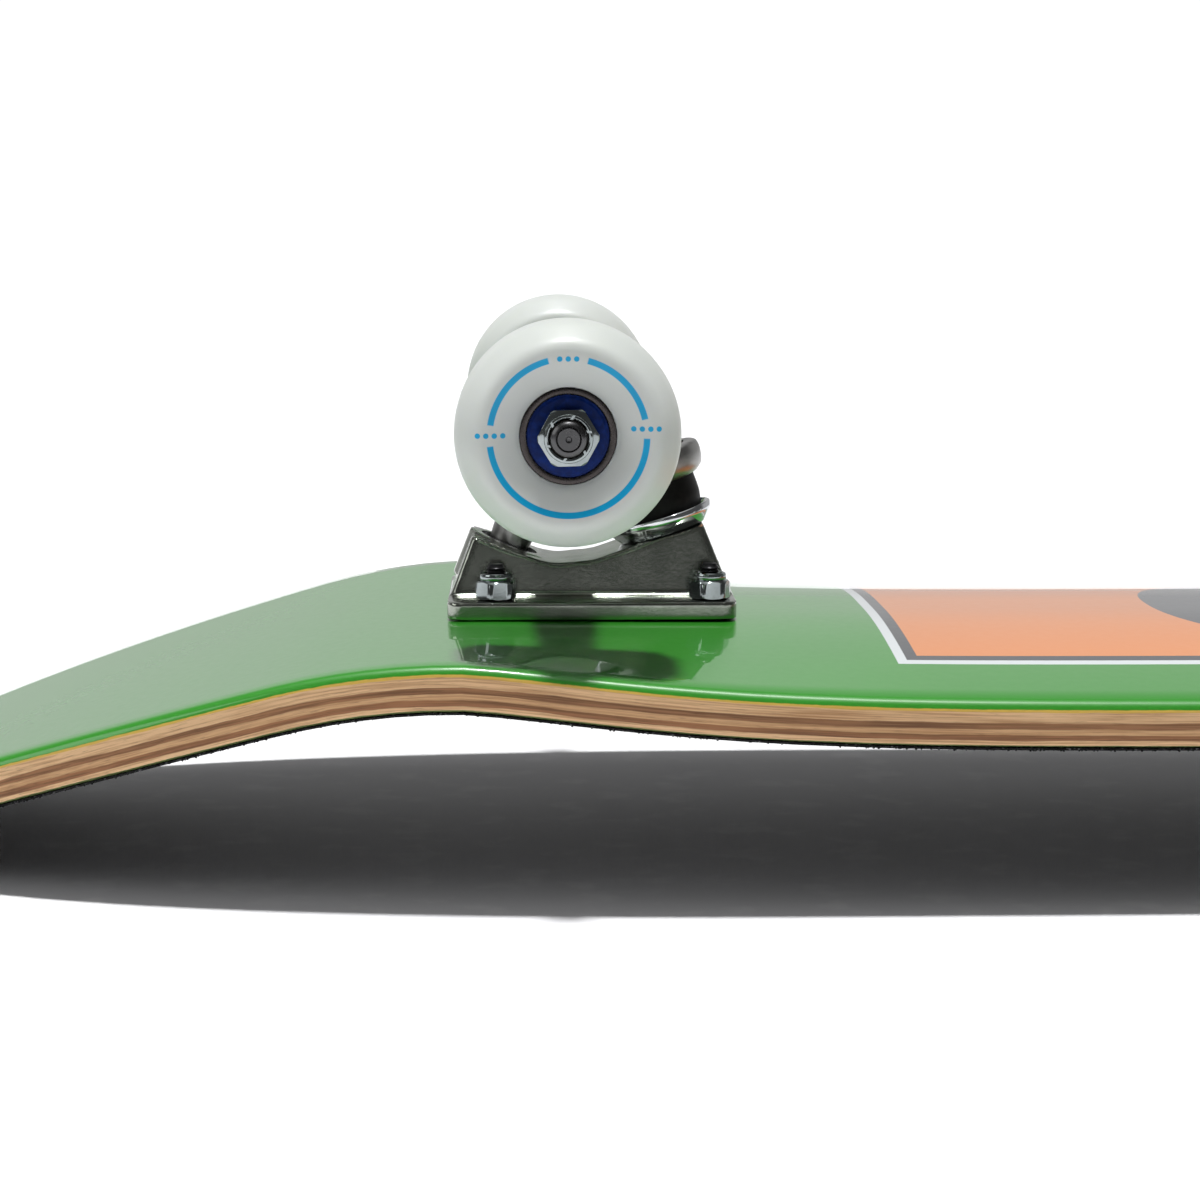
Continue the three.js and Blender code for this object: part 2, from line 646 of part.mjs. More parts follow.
/** Round-ended stem that turns in the pivot cup. */
function pivotStemGeometry() {
  const reach = Math.hypot(PIVOT_OFFSET - AXLE_OFFSET, AXLE_HEIGHT - PIVOT_HEIGHT);
  const arcSteps = 4;
  const points = [];
  for (let step = 0; step <= arcSteps; step += 1) {
    const angle = step / arcSteps * Math.PI / 2;
    points.push([PIVOT_RADIUS * Math.sin(angle), -PIVOT_RADIUS * Math.cos(angle)]);
  }
  points.push([PIVOT_RADIUS + 0.2, PIVOT_CUP_RIM], [BARREL_RADIUS - 2, reach * 0.6]);
  points.push([BARREL_RADIUS - 2, reach], [0, reach]);
  return onPivot(turned(points, MEDIUM));
}

function ringGeometry() {
  return onKingpin(turned([
    [0, RING_BOTTOM],
    [RING_RADIUS - 2.8, RING_BOTTOM],
    [RING_RADIUS - 0.5, RING_BOTTOM + 2.1],
    [RING_RADIUS, RING_BOTTOM + 5.4],
    [RING_RADIUS - 0.8, RING_TOP],
    [0, RING_TOP],
  ], FINE));
}

/** Everything that the kingpin stack needs cut out of the hanger. */
function hangerCutters() {
  const boardside = holeRadius(BOARDSIDE_BUSHING_RADIUS, HOLE_ROOM, MEDIUM);
  const roadside = holeRadius(ROADSIDE_BUSHING_RADIUS, HOLE_ROOM, MEDIUM);
  const nutReach = KINGPIN_NUT_FLATS / 2 / Math.cos(Math.PI / 6) + NUT_RELIEF;
  const relief = new THREE.Shape();
  relief.absarc(0, NUT_SWING, nutReach, 0, Math.PI);
  relief.absarc(0, -NUT_SWING, nutReach, Math.PI, 2 * Math.PI);
  relief.closePath();
  const options = { depth: KINGPIN_TOP, bevelEnabled: false, curveSegments: 5 };
  const reliefBar = new THREE.ExtrudeGeometry(relief, options).translate(0, 0, RING_TOP);
  return [
    onKingpin(bar(boardside, 0, RING_BOTTOM + RING_RECESS, MEDIUM)),
    onKingpin(bar(RING_HOLE_RADIUS, RING_BOTTOM - OVERCUT, RING_TOP + OVERCUT, MEDIUM)),
    onKingpin(bar(roadside, RING_TOP - RING_RECESS, RING_TOP + 4, MEDIUM)),
    onKingpin(reliefBar),
  ];
}

function hangerGeometry() {
  const bore = holeRadius(AXLE_RADIUS, FIT, MEDIUM);
  const axleHole = bar(bore, -HANGER_WIDTH, HANGER_WIDTH, MEDIUM).rotateX(Math.PI / 2);
  axleHole.translate(-AXLE_OFFSET, 0, AXLE_HEIGHT);
  const pieces = [barrelGeometry(), wingGeometry(), armGeometry(), pivotStemGeometry(), ringGeometry()];
  return toGeometry(cut(join(...pieces), ...hangerCutters(), axleHole));
}

function axleGeometry() {
  const end = AXLE_LENGTH / 2;
  return turned([
    [0, -end],
    [AXLE_RADIUS - AXLE_CHAMFER, -end],
    [AXLE_RADIUS, -end + AXLE_CHAMFER],
    [AXLE_RADIUS, end - AXLE_CHAMFER],
    [AXLE_RADIUS - AXLE_CHAMFER, end],
    [0, end],
  ], MEDIUM).rotateX(-Math.PI / 2).translate(-AXLE_OFFSET, 0, AXLE_HEIGHT);
}

// ---------------------------------------------------------------- wheel, along Z from its centre

function wheelGeometry() {
  const seat = holeRadius(BEARING_RADIUS, FIT, FINE);
  const shoulder = HUB_WIDTH / 2 - BEARING_WIDTH - STACK_GAP;
  const face = WHEEL_WIDTH / 2;
  const half = [
    [WHEEL_RADIUS, TREAD_WIDTH / 2],
    [WHEEL_RADIUS - 2.2, (TREAD_WIDTH / 2 + face) / 2 + 1.2],
    [PRINT_RADIUS, face],
    [seat, HUB_WIDTH / 2 + 0.5],
    [seat, shoulder],
    [CORE_BORE_RADIUS, shoulder],
  ];
  const mirrored = half.map(([radius, height]) => [radius, -height]).reverse();
  return turnedRing([...mirrored, ...half], FINE);
}

function bearingGeometry() {
  const bore = holeRadius(AXLE_RADIUS, RUNNING_FIT, MEDIUM);
  const half = BEARING_WIDTH / 2;
  const section = [[bore, -half], [BEARING_RADIUS, -half], [BEARING_RADIUS, half], [bore, half]];
  return turnedRing(section, MEDIUM);
}

function speedWasherGeometry() {
  const bore = holeRadius(AXLE_RADIUS, FIT, MEDIUM);
  const rim = SPEED_WASHER_RADIUS;
  const thick = SPEED_WASHER_THICKNESS;
  return turnedRing([[bore, 0], [rim, 0], [rim, thick], [bore, thick]], MEDIUM);
}

function axleNutGeometry() {
  return hexNut(AXLE_NUT_FLATS, holeRadius(AXLE_RADIUS, FIT, COARSE), 0, AXLE_NUT_HEIGHT);
}

// ---------------------------------------------------------------- assembly

const FINISHES = {
  deck: { color: 0x38822b, roughness: 0.15, metalness: 0 },
  grip: { color: 0x141414, roughness: 0.95, metalness: 0 },
  baseplate: { color: 0x8b8d8c, roughness: 0.25, metalness: 1 },
  hanger: { color: 0xa9abab, roughness: 0.4, metalness: 1 },
  steel: { color: 0xc4c8ca, roughness: 0.18, metalness: 1 },
  blackSteel: { color: 0x17181a, roughness: 0.4, metalness: 0.6 },
  bushing: { color: 0x0c0c0d, roughness: 0.55, metalness: 0 },
  pivotCup: { color: 0x101010, roughness: 0.6, metalness: 0 },
  wheel: { color: 0xdfe4dc, roughness: 0.35, metalness: 0 },
  bearing: { color: 0x12305c, roughness: 0.35, metalness: 0.4 },
};

/** A named mesh with a material of its own. */
function piece(name, geometry, finish) {
  const mesh = new THREE.Mesh(geometry, new THREE.MeshStandardMaterial(FINISHES[finish]));
  mesh.name = name;
  return mesh;
}

/** Eight pieces of hardware per truck: four bolts and their nuts. */
function addHardware(truck, end, mirror) {
  const bore = holeRadius(BOLT_RADIUS, FIT, COARSE);
  for (const [x, y] of boltPlaces()) {
    const row = x < 0 ? 'outer' : 'inner';
    const place = `${row}_${y * mirror > 0 ? 'left' : 'right'}`;
    const outline = boltOutline(0, -STACK_THICKNESS, BOLT_LENGTH - STACK_THICKNESS);
    const withoutRim = outline.filter((point, index) => index !== 2);
    const bolt = piece(`${end}_mounting_bolt_${place}`, turned(withoutRim, COARSE), 'blackSteel');
    const nutBottom = FLANGE_THICKNESS + STACK_GAP;
    const nutShape = hexNut(BOLT_NUT_FLATS, bore, nutBottom, BOLT_NUT_HEIGHT);
    const nut = piece(`${end}_mounting_nut_${place}`, nutShape, 'steel');
    bolt.position.set(x, y, 0);
    nut.position.set(x, y, 0);
    truck.add(bolt, nut);
  }
}

/** One wheel with its two bearings, outer speed washer and nut. */
function addWheel(truck, name, outward) {
  const corner = new THREE.Group();
  corner.position.set(-AXLE_OFFSET, 0, AXLE_HEIGHT);
  corner.rotation.x = -outward * Math.PI / 2;
  const pieces = [
    ['wheel', wheelGeometry(), 'wheel', WHEEL_CENTRE],
    ['outer_bearing', bearingGeometry(), 'bearing', WHEEL_CENTRE + (HUB_WIDTH - BEARING_WIDTH) / 2],
    ['inner_bearing', bearingGeometry(), 'bearing', WHEEL_CENTRE - (HUB_WIDTH - BEARING_WIDTH) / 2],
    ['speed_washer', speedWasherGeometry(), 'steel', OUTER_WASHER_Y],
    ['axle_nut', axleNutGeometry(), 'steel', AXLE_NUT_Y],
  ];
  for (const [part, geometry, finish, distance] of pieces) {
    const mesh = piece(`${name}_${part}`, geometry, finish);
    mesh.position.z = distance;
    corner.add(mesh);
  }
  truck.add(corner);
}

/** A whole truck; the rear one is the front one turned half round. */
function buildTruck(end) {
  const mirror = end === 'rear' ? -1 : 1;
  const truck = new THREE.Group();
  truck.position.set(-mirror * PATTERN_X, 0, 0);
  truck.rotation.z = mirror < 0 ? Math.PI : 0;
  truck.add(
    piece(`${end}_baseplate`, baseplateGeometry(), 'baseplate'),
    piece(`${end}_pivot_cup`, pivotCupGeometry(), 'pivotCup'),
    piece(`${end}_kingpin`, kingpinGeometry(), 'steel'),
    piece(`${end}_kingpin_nut`, kingpinNutGeometry(), 'steel'),
    piece(`${end}_boardside_washer`, boardsideWasherGeometry(), 'steel'),
    piece(`${end}_boardside_bushing`, boardsideBushingGeometry(), 'bushing'),
    piece(`${end}_hanger`, hangerGeometry(), 'hanger'),
    piece(`${end}_roadside_bushing`, roadsideBushingGeometry(), 'bushing'),
    piece(`${end}_roadside_washer`, roadsideWasherGeometry(), 'steel'),
    piece(`${end}_axle`, axleGeometry(), 'steel'),
  );
  addHardware(truck, end, mirror);
  for (const outward of [-1, 1]) {
    addWheel(truck, `${end}_${outward * mirror > 0 ? 'left' : 'right'}`, outward);
  }
  return truck;
}

/** Lowest point of the grip tape, under the painted face's flat middle. */
function lowestGrip(grip) {
  grip.computeBoundingBox();
  return grip.boundingBox.min.z;
}

function buildSkateboard() {
  const board = new THREE.Group();
  const grip = gripTapeGeometry();
  board.add(piece('deck', deckGeometry(), 'deck'), piece('grip_tape', grip, 'grip'));
  board.add(buildTruck('front'), buildTruck('rear'));
  board.position.set((NOSE_LENGTH - TAIL_LENGTH) / 2, 0, -lowestGrip(grip));
  const skateboard = new THREE.Group();
  skateboard.add(board);
  return skateboard;
}

export default buildSkateboard();
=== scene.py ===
"""Looks of an upside-down street skateboard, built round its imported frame.

Every sub-assembly is a class that holds its sizes in millimetres and builds its pieces in a local frame,
which is then placed in the row frame in metres. The lay attribute keeps each point's local millimetres,
and the materials read it, so that grain, print and brush marks follow the piece they are on.
"""
import logging
import math
import random
from collections.abc import Callable, Iterable, Sequence
from dataclasses import dataclass, field
from enum import Enum

import bmesh
import bpy
from mathutils import Matrix, Vector


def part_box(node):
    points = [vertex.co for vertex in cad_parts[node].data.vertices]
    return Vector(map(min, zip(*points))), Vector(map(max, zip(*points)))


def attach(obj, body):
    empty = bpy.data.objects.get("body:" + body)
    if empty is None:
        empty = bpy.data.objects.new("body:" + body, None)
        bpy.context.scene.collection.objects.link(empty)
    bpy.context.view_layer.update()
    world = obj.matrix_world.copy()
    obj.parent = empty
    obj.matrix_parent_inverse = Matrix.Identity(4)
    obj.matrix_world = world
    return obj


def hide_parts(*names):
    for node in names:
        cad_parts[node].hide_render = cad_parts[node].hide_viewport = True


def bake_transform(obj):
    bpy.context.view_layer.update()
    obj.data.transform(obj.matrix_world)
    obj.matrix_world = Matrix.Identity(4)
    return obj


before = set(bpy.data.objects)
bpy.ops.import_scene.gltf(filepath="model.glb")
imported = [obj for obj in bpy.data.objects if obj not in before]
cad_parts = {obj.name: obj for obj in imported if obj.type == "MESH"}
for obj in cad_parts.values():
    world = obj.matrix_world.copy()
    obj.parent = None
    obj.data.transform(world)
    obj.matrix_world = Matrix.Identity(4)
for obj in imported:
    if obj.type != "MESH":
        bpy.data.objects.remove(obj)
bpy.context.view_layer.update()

LOG = logging.getLogger("skateboard")
MM = 0.001
LAY = "lay"
SHARP_ANGLE = math.radians(38)
Point = tuple[float, float]
Colour = tuple[float, float, float]
Rule = Callable[[Vector], Vector]


class End(Enum):
    """One end of the board, with the direction in which its truck's inboard side points."""

    FRONT = 1
    REAR = -1

    @property
    def word(self) -> str:
        """Name of the end as the CAD nodes spell it."""
        return self.name.lower()


class Side(Enum):
    """One side of the board, with its sign along Y."""

    LEFT = 1
    RIGHT = -1

    @property
    def word(self) -> str:
        """Name of the side as the CAD nodes spell it."""
        return self.name.lower()


# ------------------------------------------------------------------ shaders


class Wire:
    """A number in a shader. Python's operators on it add Math nodes."""

    def __init__(self, bench: "Bench", socket: bpy.types.NodeSocket) -> None:
        """Keeps the tree that the number is in, and the socket that gives it."""
        self.bench = bench
        self.socket = socket

    def math(self, operation: str, *others: "Wire | float", flip: bool = False) -> "Wire":
        """Adds one Math node.

        Args:
            operation: The node's operation.
            others: Its further values.
            flip: Whether this number comes second.

        Returns:
            The node's result.
        """
        values = [self, *others]
        if flip:
            values.reverse()
        node = self.bench.node("ShaderNodeMath", {"operation": operation}, dict(enumerate(values)))
        return Wire(self.bench, node.outputs[0])

    def __add__(self, other: "Wire | float") -> "Wire":
        """Sum."""
        return self.math("ADD", other)

    def __sub__(self, other: "Wire | float") -> "Wire":
        """Difference."""
        return self.math("SUBTRACT", other)

    def __rsub__(self, other: "Wire | float") -> "Wire":
        """Difference from a plain number."""
        return self.math("SUBTRACT", other, flip=True)

    def __mul__(self, other: "Wire | float") -> "Wire":
        """Product."""
        return self.math("MULTIPLY", other)

    def __truediv__(self, other: "Wire | float") -> "Wire":
        """Quotient."""
        return self.math("DIVIDE", other)

    def __pow__(self, other: "Wire | float") -> "Wire":
        """Power."""
        return self.math("POWER", other)

    __radd__ = __add__
    __rmul__ = __mul__

    def size(self) -> "Wire":
        """Value without its sign."""
        return self.math("ABSOLUTE")

    def least(self, other: "Wire | float") -> "Wire":
        """Smaller of two."""
        return self.math("MINIMUM", other)

    def most(self, other: "Wire | float") -> "Wire":
        """Larger of two."""
        return self.math("MAXIMUM", other)

    def ease(self, low: "Wire | float", high: "Wire | float") -> "Wire":
        """Share of the way from low to high, held between 0 and 1."""
        settings = {"interpolation_type": "SMOOTHSTEP"}
        inputs = {"Value": self, "From Min": low, "From Max": high}
        node = self.bench.node("ShaderNodeMapRange", settings, inputs)
        return Wire(self.bench, node.outputs[0])

    def below(self, limit: float, soft: float = 0.12) -> "Wire":
        """1 where the number is under a limit and 0 above it, with a soft edge."""
        return 1 - self.ease(limit - soft, limit + soft)


class Bench:
    """A node tree with its shader, and one method that adds any node."""

    def __init__(self, owner: bpy.types.Material | bpy.types.World, shader: str) -> None:
        """Opens the nodes of a material or world.

        Args:
            owner: What the nodes are for.
            shader: Name of its shader node.
        """
        owner.use_nodes = True
        self.tree = owner.node_tree
        self.shader = self.tree.nodes[shader]

    @classmethod
    def material(cls, name: str) -> "Bench":
        """Starts a new material with a Principled shader."""
        return cls(bpy.data.materials.new(name), "Principled BSDF")

    @classmethod
    def world(cls, name: str) -> "Bench":
        """Starts the scene's surroundings."""
        made = bpy.data.worlds.new(name)
        bpy.context.scene.world = made
        return cls(made, "Background")

    def node(self, kind: str, settings: dict | None = None, inputs: dict | None = None) -> bpy.types.Node:
        """Adds a node.

        Args:
            kind: The node's type.
            settings: Its properties, which are set first.
            inputs: Values or links of its sockets, by name or number.

        Returns:
            The node.
        """
        made = self.tree.nodes.new(kind)
        for key, value in (settings or {}).items():
            setattr(made, key, value)
        for key, value in (inputs or {}).items():
            self.feed(made.inputs[key], value)
        return made

    def feed(self, socket: bpy.types.NodeSocket, value: object) -> None:
        """Links a Wire or a socket to a socket, or sets a plain value on it."""
        if isinstance(value, Wire):
            self.tree.links.new(value.socket, socket)
        elif isinstance(value, bpy.types.NodeSocket):
            self.tree.links.new(value, socket)
        elif isinstance(value, tuple) and len(value) == 3 and socket.type == "RGBA":
            socket.default_value = (*value, 1.0)
        else:
            socket.default_value = value

    def set(self, **values: object) -> None:
        """Sets or links the shader's sockets; an underscore stands for a space."""
        for key, value in values.items():
            self.feed(self.shader.inputs[key.replace("_", " ")], value)

    def lay(self, stretch: tuple[float, float, float] = (1, 1, 1)) -> bpy.types.NodeSocket:
        """Local millimetres of each point, scaled along each axis."""
        place = self.node("ShaderNodeAttribute", {"attribute_name": LAY}).outputs["Vector"]
        if stretch == (1, 1, 1):
            return place
        inputs = {0: place, 1: Vector(stretch)}
        return self.node("ShaderNodeVectorMath", {"operation": "MULTIPLY"}, inputs).outputs[0]

    def axes(self) -> tuple[Wire, Wire, Wire]:
        """The three local coordinates as numbers."""
        parts = self.node("ShaderNodeSeparateXYZ", None, {0: self.lay()})
        return tuple(Wire(self, parts.outputs[i]) for i in range(3))

    def noise(self, scale: float, stretch: tuple[float, float, float] = (1, 1, 1), detail: float = 3) -> Wire:
        """Smooth noise from 0 to 1.

        Args:
            scale: Waves per millimetre.
            stretch: Scaling of each axis.
            detail: Octaves.

        Returns:
            The noise.
        """
        inputs = {"Vector": self.lay(stretch), "Scale": scale, "Detail": detail}
        return Wire(self, self.node("ShaderNodeTexNoise", None, inputs).outputs[0])

    def cells(self, scale: float, output: str = "Distance") -> Wire:
        """Voronoi cells, as the distance from each cell's middle or as its own random number."""
        node = self.node("ShaderNodeTexVoronoi", None, {"Vector": self.lay(), "Scale": scale})
        if output == "Distance":
            return Wire(self, node.outputs["Distance"])
        parts = self.node("ShaderNodeSeparateColor", None, {0: node.outputs["Color"]})
        return Wire(self, parts.outputs[0])

    def mix(self, first: object, second: object, share: Wire | float) -> bpy.types.NodeSocket:
        """Mixes two colours.

        Args:
            first: Colour or link shown at share 0.
            second: Colour or link shown at share 1.
            share: How much of the second.

        Returns:
            The mixed colour.
        """
        node = self.node("ShaderNodeMix", {"data_type": "RGBA"})
        for index, value in ((0, share), (6, first), (7, second)):
            self.feed(node.inputs[index], value)
        return node.outputs[2]

    def bump(self, height: Wire, strength: float, depth_mm: float) -> None:
        """Roughs the surface up by a height of so many millimetres."""
        inputs = {"Height": height, "Strength": strength, "Distance": depth_mm * MM}
        self.set(Normal=self.node("ShaderNodeBump", None, inputs).outputs[0])


class Finish:
    """A surface finish that makes its material once. Each kind has a name and a record slot."""

    def dress(self, bench: Bench) -> None:
        """Fills in the material's nodes."""
        raise NotImplementedError

    def material(self) -> bpy.types.Material:
        """The finish's material, made on first use."""
        known = bpy.data.materials.get(self.name)
        if known is not None:
            return known
        self.dress(Bench.material(self.name))
        return bpy.data.materials[self.name]


@dataclass(frozen=True)
class Metal(Finish):
    """Bare, plated or cast metal.

    Attributes:
        name: Material name.
        slot: Material slot of the record. Not used.
        colour: Reflected colour.
        roughness: Lowest and highest roughness.
        grain: Depth of the surface's fine grain in millimetres.
        grain_scale: Grains per millimetre.
        stretch: Stretch of the grain along the local axes.
        stain: Share of darkening in patches.
    """

    name: str
    slot: str
    colour: Colour
    roughness: Point
    grain: float = 0.01
    grain_scale: float = 2.0
    stretch: tuple[float, float, float] = (1, 1, 1)
    stain: float = 0.15

    def dress(self, bench: Bench) -> None:
        """Fills in the material's nodes."""
        patches = bench.noise(0.12, detail=4)
        grain = bench.noise(self.grain_scale, self.stretch, detail=4)
        low, high = self.roughness
        dark = tuple(channel * (1 - self.stain) * 0.9 for channel in self.colour)
        share = patches.ease(0.35, 0.7) * 0.7 + grain * 0.3
        bench.set(Base_Color=bench.mix(self.colour, dark, share), Metallic=1.0)
        bench.set(Roughness=low + (high - low) * (patches * 0.5 + grain * 0.5))
        bench.bump(grain, 0.5, self.grain)


@dataclass(frozen=True)
class Rubber(Finish):
    """Moulded urethane, nylon or black oxide: a dark, faintly mottled skin.

    Attributes:
        name: Material name.
        slot: Material slot of the record. Not used.
        colour: Colour of the skin.
        roughness: Lowest and highest roughness.
        metallic: 0 for a plastic skin and up to 1 for a metal one.
    """

    name: str
    slot: str
    colour: Colour
    roughness: Point
    metallic: float = 0.0

    def dress(self, bench: Bench) -> None:
        """Fills in the material's nodes."""
        mottle = bench.noise(0.8, detail=5)
        pale = tuple(channel * 1.9 + 0.001 for channel in self.colour)
        low, high = self.roughness
        bench.set(Base_Color=bench.mix(self.colour, pale, mottle.ease(0.35, 0.8)), Metallic=self.metallic)
        bench.set(Roughness=low + (high - low) * mottle, Specular_IOR_Level=0.14)
        bench.bump(bench.noise(4.0, detail=3), 0.4, 0.012)


@dataclass(frozen=True)
class Veneer:
    """One veneer of the pressed stack.

    Attributes:
        bottom: Depth at which it ends, in millimetres under the painted face.
        light: Colour of its early wood.
        dark: Colour of its streaks.
    """

    bottom: float
    light: Colour
    dark: Colour


@dataclass(frozen=True)
class PressedMaple(Finish):
    """Sanded edge of the pressed veneers, with streaks, pores and ragged glue lines.

    Attributes:
        veneers: The veneers from the top down.
        ragged: How far a glue line wanders, in millimetres.
        dye: Colour of the dyed strip over the grip tape.
        dye_depth: Depth at which the dye starts.
    """

    veneers: tuple[Veneer, ...]
    name: str = "pressed_maple"
    slot: str = "deck"
    ragged: float = 0.55
    dye: Colour = (0.045, 0.115, 0.025)
    dye_depth: float = 9.95

    def dress(self, bench: Bench) -> None:
        """Fills in the material's nodes."""
        depth = bench.axes()[2]
        wander = bench.noise(1.0, (0.05, 0.05, 0.5), detail=4) - 0.5
        fibre = bench.noise(1.0, (0.04, 0.3, 2.4), detail=5)
        pores = bench.noise(1.0, (0.22, 0.9, 6.0), detail=3)
        drift = bench.noise(1.0, (0.01, 0.02, 0.25), detail=3)
        streak = (fibre.ease(0.36, 0.66) * 0.75 + (drift - 0.5) * 1.1).most(0.0).least(1.0)
        wavy = depth + wander * (2 * self.ragged) + (pores - 0.5) * 0.25
        wood = None
        for veneer in self.veneers:
            layer = bench.mix(veneer.light, veneer.dark, streak)
            wood = layer if wood is None else bench.mix(wood, layer, wavy.ease(top - 0.14, top + 0.14))
            top = veneer.bottom
        fleck = bench.mix(wood, (0.07, 0.035, 0.016), pores.ease(0.56, 0.78) * 0.55)
        dyed = (depth + (pores - 0.5) * 0.3).ease(self.dye_depth, self.dye_depth + 0.15)
        bench.set(Base_Color=bench.mix(fleck, self.dye, dyed * 0.9), Roughness=0.42 + pores * 0.2)
        bench.set(Coat_Weight=0.06, Coat_Roughness=0.3, Specular_IOR_Level=0.3)
        bench.bump(pores + fibre * 0.5, 0.6, 0.05)


@dataclass(frozen=True)
class Lacquer(Finish):
    """Deep green gloss paint on the face ply, with a plain framed panel.

    Attributes:
        name: Material name.
        green: Colour of the field.
        panel: Half-length and half-width of the panel, in millimetres.
        oval: Half-length and half-width of the oval.
        oval_power: Exponent of the oval's outline.
        borders: Widths of the outer white line and the dark line inside it.
        side_widening: How much wider the lines along the board are than those across it.
        lean: How far the panel's ends lean along the board, per millimetre across it.
        wood_depth: Depth on the rounded edge at which the paint ends, in millimetres.
    """

    name: str = "green_lacquer"
    slot: str = "deck"
    green: Colour = (0.030, 0.272, 0.017)
    white: Colour = (0.66, 0.70, 0.72)
    slate: Colour = (0.035, 0.038, 0.045)
    orange: Colour = (0.72, 0.235, 0.05)
    wood: Colour = (0.62, 0.40, 0.075)
    panel: Point = (140.4, 70.5)
    lean: float = 0.0143
    oval: Point = (65.4, 54.0)
    oval_power: float = 2.5
    borders: Point = (2.5, 2.9)
    side_widening: float = 1.35
    wood_depth: float = 1.85

    def frame_mask(self, x: Wire, y: Wire, inset: float) -> Wire:
        """1 inside the panel pulled in by inset millimetres, and 0 outside it."""
        inside_x = (x + y * self.lean).size().below(self.panel[0] - inset)
        return inside_x * y.size().below(self.panel[1] - inset * self.side_widening)

    def dress(self, bench: Bench) -> None:
        """Fills in the material's nodes."""
        x, y, depth = bench.axes()
        white_line, dark_line = self.borders
        drift = bench.noise(0.01, detail=3)
        grey = bench.noise(0.4, detail=4)
        deep = tuple(channel * 0.82 for channel in self.green)
        paint = bench.mix(self.green, deep, drift)
        paint = bench.mix(paint, self.white, self.frame_mask(x, y, 0.0))
        paint = bench.mix(paint, self.slate, self.frame_mask(x, y, white_line))
        paint = bench.mix(paint, self.orange, self.frame_mask(x, y, white_line + dark_line))
        reach = (x.size() / self.oval[0]) ** self.oval_power + (y.size() / self.oval[1]) ** self.oval_power
        slate = bench.mix(self.slate, tuple(channel * 1.5 for channel in self.slate), grey)
        paint = bench.mix(paint, slate, reach.below(1.0, 0.006))
        edge = (depth + (grey - 0.5) * 0.3).ease(self.wood_depth - 0.12, self.wood_depth + 0.12)
        bench.set(Base_Color=bench.mix(paint, self.wood, edge), Roughness=0.28 + grey * 0.08)
        bench.set(Coat_Weight=1.0 - edge * 0.6, Coat_Roughness=0.025, Coat_IOR=1.47)
        bench.bump(bench.noise(0.09, detail=2), 0.35, 0.05)


@dataclass(frozen=True)
class Grit(Finish):
    """Black silicon-carbide grit on paper."""

    name: str = "grip_grit"
    slot: str = "grip"
    colour: Colour = (0.006, 0.006, 0.0065)
    # Colour of the painted glints: lighter grains that stand in for the grit's sparkle.
    glint: Colour = (0.11, 0.11, 0.12)

    def dress(self, bench: Bench) -> None:
        """Fills in the material's nodes."""
        grains = bench.cells(1.9)
        lot = bench.cells(1.9, "Color")
        dust = bench.noise(0.02, detail=5)
        # Share of the painted glints on a few grains, plus a little real dust.
        share = lot.ease(0.86, 0.98) * 0.8 + dust.ease(0.5, 0.9) * 0.08
        bench.set(Base_Color=bench.mix(self.colour, self.glint, share))
        bench.set(Roughness=0.95 - lot.ease(0.8, 1.0) * 0.55)
        bench.bump(1 - grains, 1.0, 0.45)


